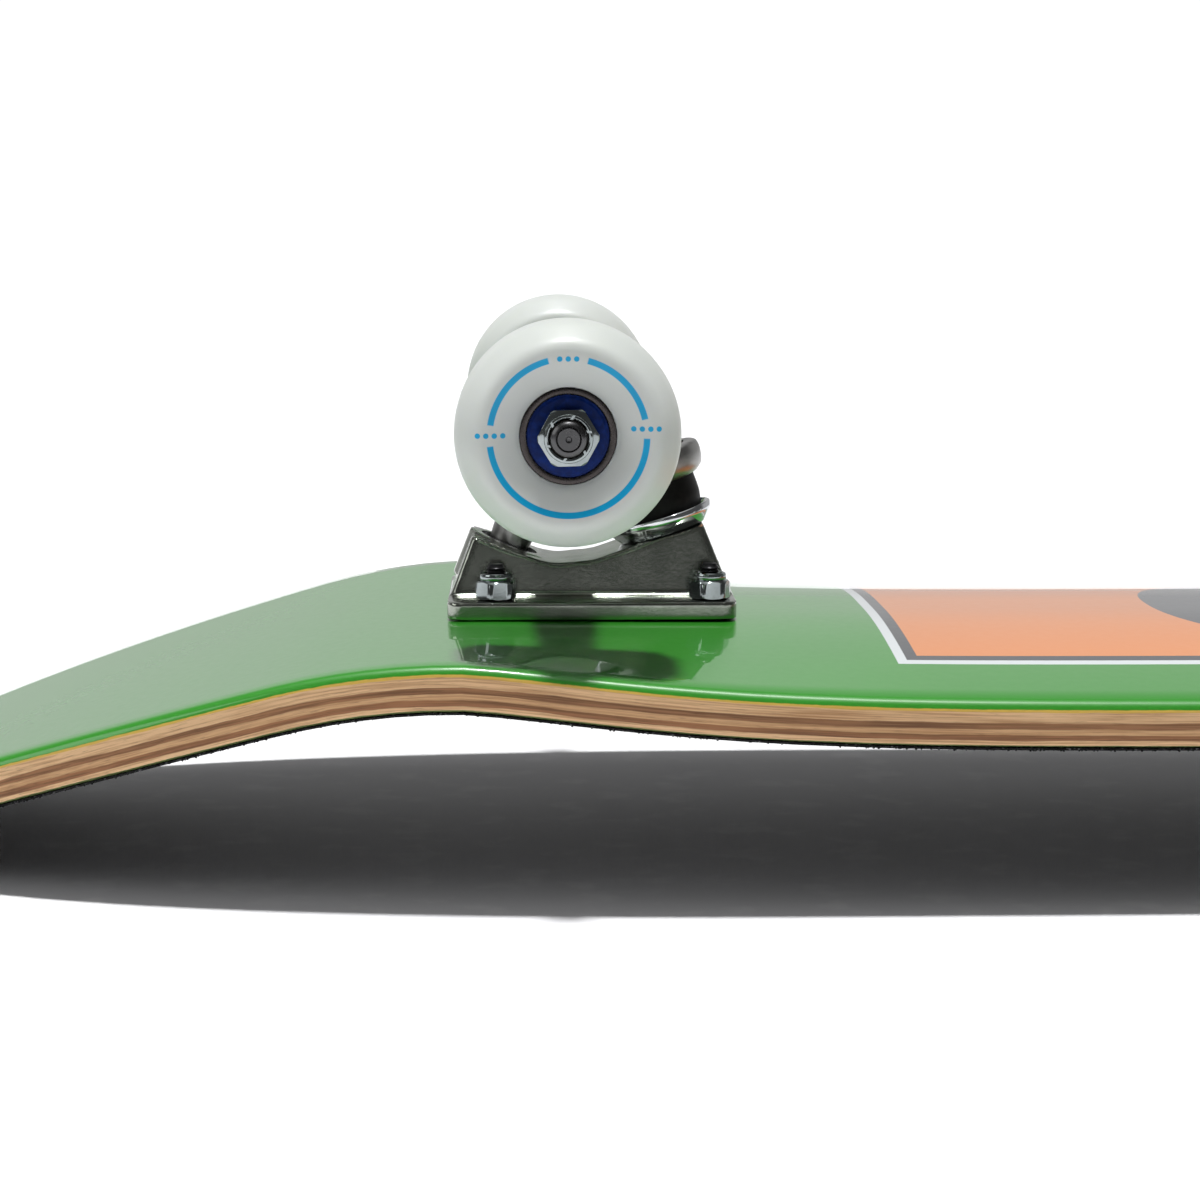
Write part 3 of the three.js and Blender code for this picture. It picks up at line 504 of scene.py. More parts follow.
@dataclass(frozen=True)
class WheelUrethane(Finish):
    """Milky, slightly clear urethane with a printed ring on the outer face.

    Attributes:
        name: Material name.
        ring: Inner and outer radius of the printed ring, in millimetres.
        top_gap: Half-angle of the gap at the top, in degrees.
        left_gap: Angles over and under the middle of the left gap, in degrees.
        right_gap: The same for the right gap.
        row_radius: Where the side rows of dots are centred.
        dot: Radius of a printed dot.
        pitch: Distance between two dots.
    """

    name: str = "wheel_urethane"
    slot: str = "wheel"
    milk: Colour = (0.59, 0.615, 0.597)
    shade: Colour = (0.545, 0.575, 0.54)
    ink: Colour = (0.0, 0.33, 0.60)
    ring: Point = (17.0, 18.45)
    top_gap: float = 14.5
    left_gap: Point = (8.7, -6.6)
    right_gap: Point = (13.0, -1.0)
    row_radius: float = 17.6
    dot: float = 0.62
    pitch: float = 1.9

    def dots(self, bench: Bench, x: Wire, z: Wire, middle: Point, count: int) -> Wire:
        """Mask of a level row of round dots centred on a point."""
        mask: Wire | float = 0.0
        for index in range(count):
            shift = (index - (count - 1) / 2) * self.pitch
            span_x = x - (middle[0] + shift)
            span_z = z - middle[1]
            reach = (span_x * span_x + span_z * span_z) ** 0.5
            spot = reach.below(self.dot, 0.08)
            mask = spot if index == 0 else spot.most(mask)
        return mask

    def dress(self, bench: Bench) -> None:
        """Fills in the material's nodes."""
        x, z, out = bench.axes()
        radius = (x * x + z * z) ** 0.5
        inner, outer = self.ring
        band = radius.below(outer, 0.1) * (1 - radius.below(inner, 0.1))
        top_half = math.tan(math.radians(self.top_gap))
        half_turn = x.ease(-0.1, 0.1)
        left_over, left_under = (math.tan(math.radians(angle)) for angle in self.left_gap)
        right_over, right_under = (math.tan(math.radians(angle)) for angle in self.right_gap)
        over = left_over + half_turn * (right_over - left_over)
        under = left_under + half_turn * (right_under - left_under)
        off_top = 1 - (x.size() / z.most(0.01)).below(top_half, 0.01) * z.ease(-0.1, 0.1)
        tilt = z / x.size().most(0.01)
        off_side = 1 - (tilt - over).below(0.0, 0.01) * (1 - (tilt - under).below(0.0, 0.01))
        print_mask = band * off_top * off_side
        print_mask = print_mask.most(self.dots(bench, x, z, (0.0, self.row_radius), 3))
        for sign, gap in ((-1, self.left_gap), (1, self.right_gap)):
            height = self.row_radius * math.sin(math.radians(sum(gap) / 2))
            print_mask = print_mask.most(self.dots(bench, x, z, (sign * self.row_radius, height), 4))
        print_mask = print_mask * out.ease(11.0, 12.0)
        haze = bench.noise(0.06, detail=3)
        body = bench.mix(self.milk, self.shade, haze)
        bench.set(Base_Color=bench.mix(body, self.ink, print_mask), Roughness=0.3 + haze * 0.14)
        bench.set(Subsurface_Weight=0.25, Subsurface_Radius=(0.004, 0.004, 0.003), Subsurface_Scale=1.0)
        bench.set(Coat_Weight=0.08, Coat_Roughness=0.2, Specular_IOR_Level=0.3)
        bench.bump(bench.noise(1.2, detail=4), 0.25, 0.02)


# The baseplate's green tint is a painted reflection of the green deck, not a colour of the casting.
CAST_BASE_WITH_GREEN_REFLECTION = Metal("cast_baseplate", "baseplate", (0.36, 0.385, 0.335), (0.1, 0.24), 0.03, 1.1, stain=0.35)
CAST_HANGER = Metal("cast_hanger", "hanger", (0.36, 0.36, 0.35), (0.24, 0.44), 0.035, 1.6, stain=0.3)
STEEL = Metal("zinc_steel", "steel", (0.30, 0.31, 0.32), (0.14, 0.3), 0.012, 2.2)
NUT_PLATING = Metal("nut_plating", "chrome", (0.36, 0.40, 0.40), (0.06, 0.18), 0.008, 1.4, stain=0.3)
CHROME = Metal("bright_plating", "chrome", (0.72, 0.74, 0.76), (0.05, 0.16), 0.006, 1.6, stain=0.12)
AXLE_STEEL = Metal("axle_steel", "steel", (0.11, 0.11, 0.112), (0.2, 0.36), 0.012, 2.2)
RACE = Metal("bearing_race", "bearing", (0.07, 0.062, 0.06), (0.2, 0.34), 0.006, 2.0)
SHIELD = Rubber("navy_shield", "bearing", (0.0002, 0.011, 0.088), (0.34, 0.46))
BLACK_STEEL = Rubber("black_oxide", "black_steel", (0.010, 0.010, 0.011), (0.28, 0.42), metallic=0.5)
BUSHING = Rubber("black_bushing", "urethane_black", (0.004, 0.004, 0.004), (0.4, 0.6))
NYLON = Rubber("dark_nylon", "chrome", (0.035, 0.033, 0.03), (0.4, 0.6))
PALE, TAN, UMBER = (0.75, 0.49, 0.265), (0.40, 0.205, 0.086), (0.15, 0.066, 0.027)
VENEERS = PressedMaple((
    Veneer(2.45, (0.66, 0.43, 0.075), (0.52, 0.32, 0.06)),
    Veneer(4.9, PALE, TAN),
    Veneer(6.3, (0.33, 0.155, 0.066), UMBER),
    Veneer(7.6, (0.64, 0.39, 0.195), TAN),
    Veneer(8.95, (0.34, 0.15, 0.063), UMBER),
    Veneer(10.7, PALE, TAN),
))
PLY_BOTTOMS = (2.3, 3.6, 4.9, 6.3, 7.6, 8.95, 10.7)


# ------------------------------------------------------------------ shapes


def eased(points: Sequence[Point], cut: float, closed: bool = False, steps: int = 4) -> list[Point]:
    """Rounds an outline's corners.

    Args:
        points: The outline.
        cut: How far from each corner the round starts.
        closed: Whether the outline closes on itself.
        steps: Points on each round, less one.

    Returns:
        The outline with its corners rounded.
    """
    made = []
    for index, point in enumerate(points):
        here = Vector(point)
        if not closed and index in (0, len(points) - 1):
            made.append(tuple(here))
            continue
        before = Vector(points[index - 1]) - here
        after = Vector(points[(index + 1) % len(points)]) - here
        back = here + before.normalized() * min(cut, before.length * 0.48)
        ahead = here + after.normalized() * min(cut, after.length * 0.48)
        for step in range(steps + 1):
            share = step / steps
            made.append(tuple(back.lerp(here, share).lerp(here.lerp(ahead, share), share)))
    return made


def thread(radius: float, bottom: float, top: float, pitch: float = 1.06) -> list[Point]:
    """Side of a threaded rod, from bottom to top."""
    depth = pitch * 0.5
    made = []
    turns = max(1, round((top - bottom) / pitch))
    for turn in range(turns):
        start = bottom + (top - bottom) * turn / turns
        made += [(radius - depth, start), (radius, start + pitch * 0.42), (radius, start + pitch * 0.58)]
    return made + [(radius - depth, top)]


def bowl(radius: float) -> list[Point]:
    """Quarter circle from the lowest point of a ball to its widest."""
    angles = (step * math.pi / 16 for step in range(9))
    return [(radius * math.sin(angle), -radius * math.cos(angle)) for angle in angles]


def at(x: float, y: float, z: float) -> Matrix:
    """A plain shift."""
    return Matrix.Translation((x, y, z))


def is_post(edge: bmesh.types.BMEdge, rise: float) -> bool:
    """Whether an edge climbs more than a given height."""
    return abs(edge.verts[0].co.z - edge.verts[1].co.z) > rise


def discard(body: bpy.types.Object) -> None:
    """Removes a spare object and its mesh."""
    mesh = body.data
    bpy.data.objects.remove(body)
    bpy.data.meshes.remove(mesh)


EdgeTest = Callable[[bmesh.types.BMEdge], bool]


class Shape:
    """A form under construction, in millimetres of its own frame."""

    def __init__(self) -> None:
        """Starts empty."""
        self.bm = bmesh.new()

    @classmethod
    def lathe(cls, profile: Sequence[Point], segments: int = 64, closed: bool = False) -> "Shape":
        """Turns an outline about Z.

        Args:
            profile: Radius and height of each point.
            segments: Steps round the axis.
            closed: Whether the outline closes on itself, as a ring's does.

        Returns:
            The turned form.
        """
        made = cls()
        verts = [made.bm.verts.new((radius, 0, height)) for radius, height in profile]
        pairs = list(zip(verts, verts[1:]))
        if closed:
            pairs.append((verts[-1], verts[0]))
        edges = [made.bm.edges.new(pair) for pair in pairs]
        bmesh.ops.spin(made.bm, geom=verts + edges, cent=(0, 0, 0), axis=(0, 0, 1), angle=math.tau,
                       steps=segments, use_merge=True, use_duplicate=False)
        return made.tidied()

    @classmethod
    def prism(cls, outline: Sequence[Point], bottom: float, top: float) -> "Shape":
        """Raises a flat outline in X and Y from bottom to top."""
        made = cls()
        face = made.bm.faces.new([made.bm.verts.new((x, y, bottom)) for x, y in outline])
        raised = bmesh.ops.extrude_face_region(made.bm, geom=[face], use_keep_orig=True)["geom"]
        verts = [item for item in raised if isinstance(item, bmesh.types.BMVert)]
        bmesh.ops.translate(made.bm, verts=verts, vec=(0, 0, top - bottom))
        return made.tidied()

    @classmethod
    def slice(cls, outline: Sequence[Point], width: float) -> "Shape":
        """Gives an outline in X and Z a width that is centred on Y = 0."""
        return cls.prism(outline, -width / 2, width / 2).placed(Matrix.Rotation(math.pi / 2, 4, "X"))

    @classmethod
    def rod(cls, radius: float, bottom: float, top: float, segments: int = 48) -> "Shape":
        """A plain bar along Z, for joining and cutting."""
        return cls.lathe([(0, bottom), (radius, bottom), (radius, top), (0, top)], segments)

    @classmethod
    def hexagon(cls, flats: float, bottom: float, top: float) -> "Shape":
        """A plain hexagonal bar along Z, with two corners on X."""
        reach = flats / math.sqrt(3)
        corners = [(reach * math.cos(k * math.pi / 3), reach * math.sin(k * math.pi / 3)) for k in range(6)]
        return cls.prism(corners, bottom, top)

    def tidied(self) -> "Shape":
        """Merges doubles and turns the faces outwards."""
        bmesh.ops.remove_doubles(self.bm, verts=self.bm.verts, dist=1e-4)
        loose = [vert for vert in self.bm.verts if not vert.link_faces]
        bmesh.ops.delete(self.bm, geom=loose, context="VERTS")
        bmesh.ops.recalc_face_normals(self.bm, faces=self.bm.faces)
        return self

    def placed(self, matrix: Matrix) -> "Shape":
        """Moves, turns or scales the form."""
        bmesh.ops.transform(self.bm, matrix=matrix, verts=self.bm.verts)
        return self

    def moved(self, rule: Rule) -> "Shape":
        """Moves every point by a rule."""
        for vert in self.bm.verts:
            vert.co = rule(vert.co.copy())
        return self

    def with_shells(self, *others: "Shape") -> "Shape":
        """Adds other forms as further shells."""
        for other in others:
            spare = bpy.data.meshes.new("spare")
            other.bm.to_mesh(spare)
            self.bm.from_mesh(spare)
            bpy.data.meshes.remove(spare)
        return self

    def clipped(self, point: Vector, normal: Vector) -> "Shape":
        """Cuts away what lies beyond a plane and closes the cut."""
        geom = [*self.bm.verts, *self.bm.edges, *self.bm.faces]
        made = bmesh.ops.bisect_plane(self.bm, geom=geom, dist=1e-5, plane_co=point, plane_no=normal,
                                      clear_outer=True, clear_inner=False)
        edges = [item for item in made["geom_cut"] if isinstance(item, bmesh.types.BMEdge)]
        bmesh.ops.holes_fill(self.bm, edges=edges, sides=0)
        return self

    def beveled(self, width: float, chosen: EdgeTest, segments: int = 3) -> "Shape":
        """Rounds the edges that a test picks."""
        edges = [edge for edge in self.bm.edges if chosen(edge)]
        bmesh.ops.bevel(self.bm, geom=edges, offset=width, offset_type="OFFSET", affect="EDGES",
                        segments=segments, profile=0.5, material=-1, clamp_overlap=True)
        return self.tidied()

    def modified(self, *modifiers: tuple[str, dict]) -> "Shape":
        """Runs modifiers over the form and keeps their result."""
        body = self.as_object("spare_body")
        for kind, settings in modifiers:
            modifier = body.modifiers.new(kind, kind)
            for key, value in settings.items():
                setattr(modifier, key, value)
        graph = bpy.context.evaluated_depsgraph_get()
        result = bpy.data.meshes.new_from_object(body.evaluated_get(graph))
        self.bm.clear()
        self.bm.from_mesh(result)
        bpy.data.meshes.remove(result)
        discard(body)
        return self

    def cut(self, *cutters: "Shape", solver: str = "MANIFOLD") -> "Shape":
        """Cuts other forms out of this one.

        Args:
            cutters: The forms to cut out.
            solver: The Boolean solver. FAST keeps the faces that no cutter touches.

        Returns:
            This form.
        """
        tools = [cutter.as_object("spare_cutter") for cutter in cutters]
        settings = {"operation": "DIFFERENCE", "solver": solver}
        self.modified(*[("BOOLEAN", {**settings, "object": tool}) for tool in tools])
        for tool in tools:
            discard(tool)
        return self

    def cast(self, voxel: float, smoothing: int) -> "Shape":
        """Melts overlapping shells into one skin with soft fillets, as a casting has."""
        remesh = ("REMESH", {"mode": "VOXEL", "voxel_size": voxel})
        return self.modified(remesh, ("SMOOTH", {"factor": 0.5, "iterations": smoothing}))

    def as_object(self, name: str) -> bpy.types.Object:
        """An object that holds the form, linked to the scene."""
        mesh = bpy.data.meshes.new(name)
        self.bm.to_mesh(mesh)
        made = bpy.data.objects.new(name, mesh)
        bpy.context.scene.collection.objects.link(made)
        return made


def piece(
    name: str,
    shape: Shape,
    place: Matrix,
    finish: Finish,
    body: str | None,
    replaces: Iterable[str] = (),
    lay: Rule = Vector.copy,
) -> bpy.types.Object:
    """Turns a form into a finished piece.

    Args:
        name: The piece's name.
        shape: Its form, in local millimetres.
        place: Local millimetres to row frame metres.
        finish: Its finish.
        body: The body it rides on, or None if it rides on none.
        replaces: The CAD nodes that it stands for.
        lay: Rule from a local point to the coordinates that its pattern follows.

    Returns:
        The piece.
    """
    lays = [lay(vert.co) for vert in shape.bm.verts]
    made = shape.placed(place).as_object(name)
    mesh = made.data
    attribute = mesh.attributes.new(LAY, "FLOAT_VECTOR", "POINT")
    attribute.data.foreach_set("vector", [value for point in lays for value in point])
    mesh.shade_smooth()
    mesh.set_sharp_from_angle(angle=SHARP_ANGLE)
    mesh.materials.append(finish.material())
    if replaces:
        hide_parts(*replaces)
    if body is not None:
        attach(made, body)
    LOG.info("%s: %d faces", name, len(mesh.polygons))
    return made


# ------------------------------------------------------------------ hardware


@dataclass
class HexNut:
    """A lock nut: a chamfered hexagon with a collar that holds a nylon ring.

    Attributes:
        flats: Size over two flats.
        height: Whole height.
        bore: Radius of the hole.
        collar: Height of the round collar on top.
        notches: Crimp marks round the collar.
        lip_share: Radius of the collar, as a share of half the flats.
    """

    flats: float
    height: float
    bore: float
    collar: float = 1.5
    notches: int = 0
    lip_share: float = 0.88

    def body(self) -> Shape:
        """The metal of the nut, standing on Z = 0."""
        flat = self.flats / 2
        reach = flat * 1.115
        lip = flat * self.lip_share
        shoulder = self.height - self.collar
        profile = [
            (self.bore, 0.3), (self.bore + 0.3, 0), (flat * 0.97, 0), (reach, 0.45), (reach, shoulder - 0.75),
            (reach - 0.25, shoulder - 0.4), (flat * 0.975, shoulder), (lip + 0.15, shoulder + 0.02),
            (lip - 0.12, shoulder + 0.22), (lip, shoulder + 0.5), (lip, self.height - 0.65),
            (lip - 0.18, self.height - 0.22), (lip - 0.6, self.height), (lip - 1.0, self.height - 0.12),
            (lip - 1.3, self.height - 0.6), (lip - 1.35, self.height - 0.9), (self.bore, self.height - 0.9),
        ]
        nut = Shape.lathe(profile, 72, closed=True)
        for side in range(6):
            angle = math.radians(30 + 60 * side)
            normal = Vector((math.cos(angle), math.sin(angle), 0))
            nut.clipped(normal * flat, normal)
        if self.notches:
            nut.tidied().cut(*self.crimps(lip))
        return nut

    def crimps(self, lip: float) -> list[Shape]:
        """Small cutters round the collar's edge."""
        made = []
        for mark in range(self.notches):
            turn = Matrix.Rotation(math.tau * (mark + 0.3) / self.notches, 4, "Z")
            block = Shape.prism([(-0.28, -0.9), (0.28, -0.9), (0.28, 0.9), (-0.28, 0.9)], -0.35, 0.6)
            tilt = Matrix.Rotation(math.radians(25), 4, "Z")
            made.append(block.placed(turn @ at(lip - 0.75, 0, self.height) @ tilt.inverted()
                                     @ Matrix.Rotation(math.pi / 2, 4, "Z")))
        return made

    def insert(self) -> Shape:
        """The nylon ring inside the collar."""
        outer = self.flats / 2 * self.lip_share - 1.4
        bottom = self.height - 0.88
        profile = [(self.bore + 0.02, bottom), (outer, bottom), (outer, self.height - 0.45),
                   (self.bore + 0.25, self.height - 0.35), (self.bore + 0.02, self.height - 0.6)]
        return Shape.lathe(profile, 48, closed=True)


@dataclass
class MountingHardware:
    """Four countersunk bolts of a truck, with their lock nuts."""

    spacing: Point = (53.975, 41.275)
    length: float = 25.4
    radius: float = 2.4
    head_radius: float = 4.75
    stack: float = 11.7
    plate: float = 4.75
    socket: float = 3.2
    nut: HexNut = field(default_factory=lambda: HexNut(9.5, 6.6, 2.42, 2.0))

    def places(self) -> list[tuple[str, int, Point]]:
        """Each bolt's row, its sign along the truck's Y, and its place."""
        made = []
        for row, sign_x in (("outer", -1), ("inner", 1)):
            for sign_y in (-1, 1):
                made.append((row, sign_y, (sign_x * self.spacing[0] / 2, sign_y * self.spacing[1] / 2)))
        return made

    def bolt(self) -> Shape:
        """A bolt with its socket and thread."""
        head = self.head_radius
        top = self.length - self.stack
        profile = [(0, -self.stack), (head - 0.3, -self.stack), (head, -self.stack + 0.25)]
        profile += [(self.radius, -self.stack + 2.6)]
        profile += thread(self.radius, 2.0, top - 0.7, 0.79)
        profile += [(self.radius - 0.7, top), (0, top)]
        return Shape.lathe(profile, 32).cut(Shape.hexagon(self.socket, -self.stack - 1, -self.stack + 2.2))

    def hole(self) -> Shape:
        """Cutter for the bolt's hole in deck and grip tape."""
        head = self.head_radius + 0.2
        below = -self.stack - 5
        bore = self.radius + 0.25
        profile = [(0, below), (head, below), (head, -self.stack + 0.4), (bore, -self.stack + 2.9),
                   (bore, 5), (0, 5)]
        return Shape.lathe(profile, 32)

    def build(self, truck: "TruckPlace") -> None:
        """Adds the four bolts and nuts of a truck."""
        for row, sign_y, (x, y) in self.places():
            side = Side(sign_y * truck.end.value).word
            place = truck.place @ at(x, y, 0)
            label = f"{truck.end.word}_mounting_%s_{row}_{side}"
            twist = Matrix.Rotation(math.radians(17 * sign_y + x), 4, "Z")
            piece(label % "screw", self.bolt(), place @ twist, BLACK_STEEL, "board", [label % "bolt"])
            seat = place @ at(0, 0, self.plate + 0.1) @ twist
            piece(label % "locknut", self.nut.body(), seat, NUT_PLATING, "board", [label % "nut"])
            piece(label % "nut_insert", self.nut.insert(), seat, NYLON, "board")


# ------------------------------------------------------------------ deck


@dataclass
class Deck:
    """Seven plies pressed into a concave with a kick at each end, and the grip tape under them."""

    width: float = 200.0
    thickness: float = 10.7
    grip: Point = (10.8, 11.3)
    pattern: float = 207.9875
    outer_bolt: float = 234.975
    tips: dict[int, float] = field(default_factory=lambda: {-1: 174.6, 1: 161.9})
    taper_inset: float = 85.0
    outline_power: float = 2.5
    kick_start: float = 7.2
    kick_round: float = 45.0
    nose_slope: float = 0.235
    kick_curve: float = 0.0008
    concave_slope: float = 0.172
    concave_flat: float = 8.0
    concave_round: float = 60.0
    concave_start: float = 7.2
    concave_blend: float = 57.0
    concave_power: float = 1.4
    face_round: float = 2.5
    riding_round: float = 1.3
    middle_share: float = 0.4
    steps: tuple[int, int] = (170, 30)
    loose_grains: int = 2600
    grain_size: Point = (0.12, 0.27)

    def kick_drop(self, beyond: float, slope: float) -> float:
        """Drop of a kick at a distance beyond the outer bolts."""
        run = max(0.0, beyond - self.kick_start)
        bend = run * run / (2 * self.kick_round) if run < self.kick_round else run - self.kick_round / 2
        return slope * bend + self.kick_curve * run * run / 2

    def slope_of(self, end: int) -> float:
        """Slope of a kick: the tail's brings its tip level with the nose's."""
        if end < 0:
            return self.nose_slope
        curved = self.kick_drop(self.tips[1], 0.0)
        per_slope = self.kick_drop(self.tips[1], 1.0) - curved
        return (self.kick_drop(self.tips[-1], self.nose_slope) - curved) / per_slope

    def face(self, x: float, y: float) -> float:
        """Height of the painted face over its flat middle."""
        beyond = abs(x) - self.outer_bolt
        across = max(0.0, abs(y) - self.concave_flat)
        concave = self.concave_slope * (math.hypot(across, self.concave_round) - self.concave_round)
        inward = max(0.0, self.concave_start - beyond)
        share = 1 - math.exp(-((inward / self.concave_blend) ** self.concave_power))
        return -self.kick_drop(beyond, self.slope_of(-1 if x < 0 else 1)) - concave * share

    def steepness(self, x: float, y: float) -> float:
        """Growth of a vertical thickness where the face is tilted."""
        slope_x = (self.face(x + 1, y) - self.face(x - 1, y)) / 2
        slope_y = (self.face(x, y + 1) - self.face(x, y - 1)) / 2
        return math.sqrt(1 + slope_x ** 2 + slope_y ** 2)

    def rim_inset(self, depth: float) -> float:
        """How far the rounded rim is drawn in at a depth."""
        for radius, below in ((self.face_round, depth), (self.riding_round, self.thickness - depth)):
            if below < radius:
                return radius - math.sqrt(max(0.0, radius ** 2 - (radius - max(below, 0.0)) ** 2))
        return 0.0

    def outline(self, share: float, inset: float) -> Point:
        """Place along the board and half-width there, for a share from -1 at the nose to 1 at the tail."""
        end = -1 if share < 0 else 1
        taper = self.outer_bolt - self.taper_inset
        bend = self.middle_share
        half = self.width / 2 - inset
        if abs(share) <= bend:
            return end * taper * abs(share) / bend, half
        angle = (abs(share) - bend) / (1 - bend) * math.pi / 2
        length = self.tips[end] + self.taper_inset - inset
        power = 2 / self.outline_power
        along = max(0.0, math.sin(angle)) ** power
        return end * (taper + length * along), half * max(0.0, math.cos(angle)) ** power

    def slab(self, top: float, bottom: float, cuts: int, inset: Callable[[float], float]) -> Shape:
        """A closed slab between two depths under the painted face.

        Args:
            top: Upper depth.
            bottom: Lower depth.
            cuts: Loops round the rim between them.
            inset: How far the rim is drawn in at a depth.

        Returns:
            The slab, in the board's own frame.
        """
        made = Shape()
        across, wide = self.steps
        bmesh.ops.create_grid(made.bm, x_segments=across, y_segments=wide, size=1)
        lowered = bmesh.ops.extrude_face_region(made.bm, geom=made.bm.faces[:], use_keep_orig=True)["geom"]
        verts = [item for item in lowered if isinstance(item, bmesh.types.BMVert)]
        bmesh.ops.translate(made.bm, verts=verts, vec=(0, 0, 1))
        if cuts:
            posts = [edge for edge in made.bm.edges if is_post(edge, 0.5)]
            bmesh.ops.subdivide_edges(made.bm, edges=posts, cuts=cuts, use_grid_fill=False)
        made.moved(lambda place: self.bent(place, top, bottom, inset))
        return made.tidied()

    def bent(self, place: Vector, top: float, bottom: float, inset: Callable[[float], float]) -> Vector:
        """Carries a point of a flat unit slab to its place on the board."""
        depth = top + (bottom - top) * place.z
        x, half = self.outline(place.x, inset(depth))
        y = half * place.y
        return Vector((x, y, self.face(x, y) - depth * self.steepness(x, y)))

    def lay(self, point: Vector) -> Vector:
        """Pattern coordinates: along the board, across it, and depth under the painted face."""
        depth = (self.face(point.x, point.y) - point.z) / self.steepness(point.x, point.y)
        return Vector((point.x, point.y, depth))

    def holes(self, hardware: MountingHardware) -> list[Shape]:
        """Cutters for all eight bolts."""
        made = []
        for end in End:
            for _, _, (x, y) in hardware.places():
                spot = at(-end.value * self.pattern + x, y, 0)
                made.append(hardware.hole().placed(spot))
        return made

    def grit_edge(self, place: Matrix) -> None:
        """Loose grains that make the cut edge of the grip tape ragged."""
        draw = random.Random(7)
        grains = Shape()
        count = self.loose_grains
        middle = sum(self.grip) / 2
        for index in range(count):
            share = -1 + 2 * (index + draw.random()) / count
            sign = draw.choice((-1, 1))
            x, half = self.outline(share, 0.5)
            y = sign * half
            depth = middle + draw.uniform(-0.2, 0.3)
            size = draw.uniform(*self.grain_size)
            spot = Vector((x, y, self.face(x, y) - depth * self.steepness(x, y)))
            turn = Matrix.Rotation(draw.uniform(0, math.pi), 4, "X") @ Matrix.Diagonal((1.3, 0.8, 1, 1))
            bmesh.ops.create_icosphere(grains.bm, subdivisions=1, radius=size,
                                       matrix=Matrix.Translation(spot) @ turn)
        piece("grip_tape_edge_grit", grains, place, Grit(), "board", lay=self.lay)

    def build(self, place: Matrix, hardware: MountingHardware) -> None:
        """Adds the plies and the grip tape.

        Args:
            place: Board millimetres to row frame.
            hardware: The bolts that go through.
        """
        top = 0.0
        for number, bottom in enumerate(PLY_BOTTOMS, 1):
            cuts = 6 if number == 1 else 2
            finish = Lacquer() if number == 1 else VENEERS
            slab = self.slab(top, bottom, cuts, self.rim_inset).cut(*self.holes(hardware), solver="FAST")
            stands_for = ["deck"] if number == 1 else []
            piece(f"deck_ply_{number}", slab, place, finish, "board", stands_for, self.lay)
            top = bottom
        sheet = self.slab(*self.grip, 1, lambda depth: 0.7).cut(*self.holes(hardware), solver="FAST")
        piece("grip_tape_sheet", sheet, place, Grit(), "board", ["grip_tape"], self.lay)
        self.grit_edge(place)


# ------------------------------------------------------------------ trucks


@dataclass
class TruckPlace:
    """Where a truck stands: its frame's origin is its bolt pattern's centre on the painted face."""

    end: End
    place: Matrix

    @property
    def hanger_body(self) -> str:
        """Name of the body that steers."""
        return f"{self.end.word}_hanger"

    def node(self, part: str) -> str:
        """Full name of one of the truck's CAD nodes."""
        return f"{self.end.word}_{part}"


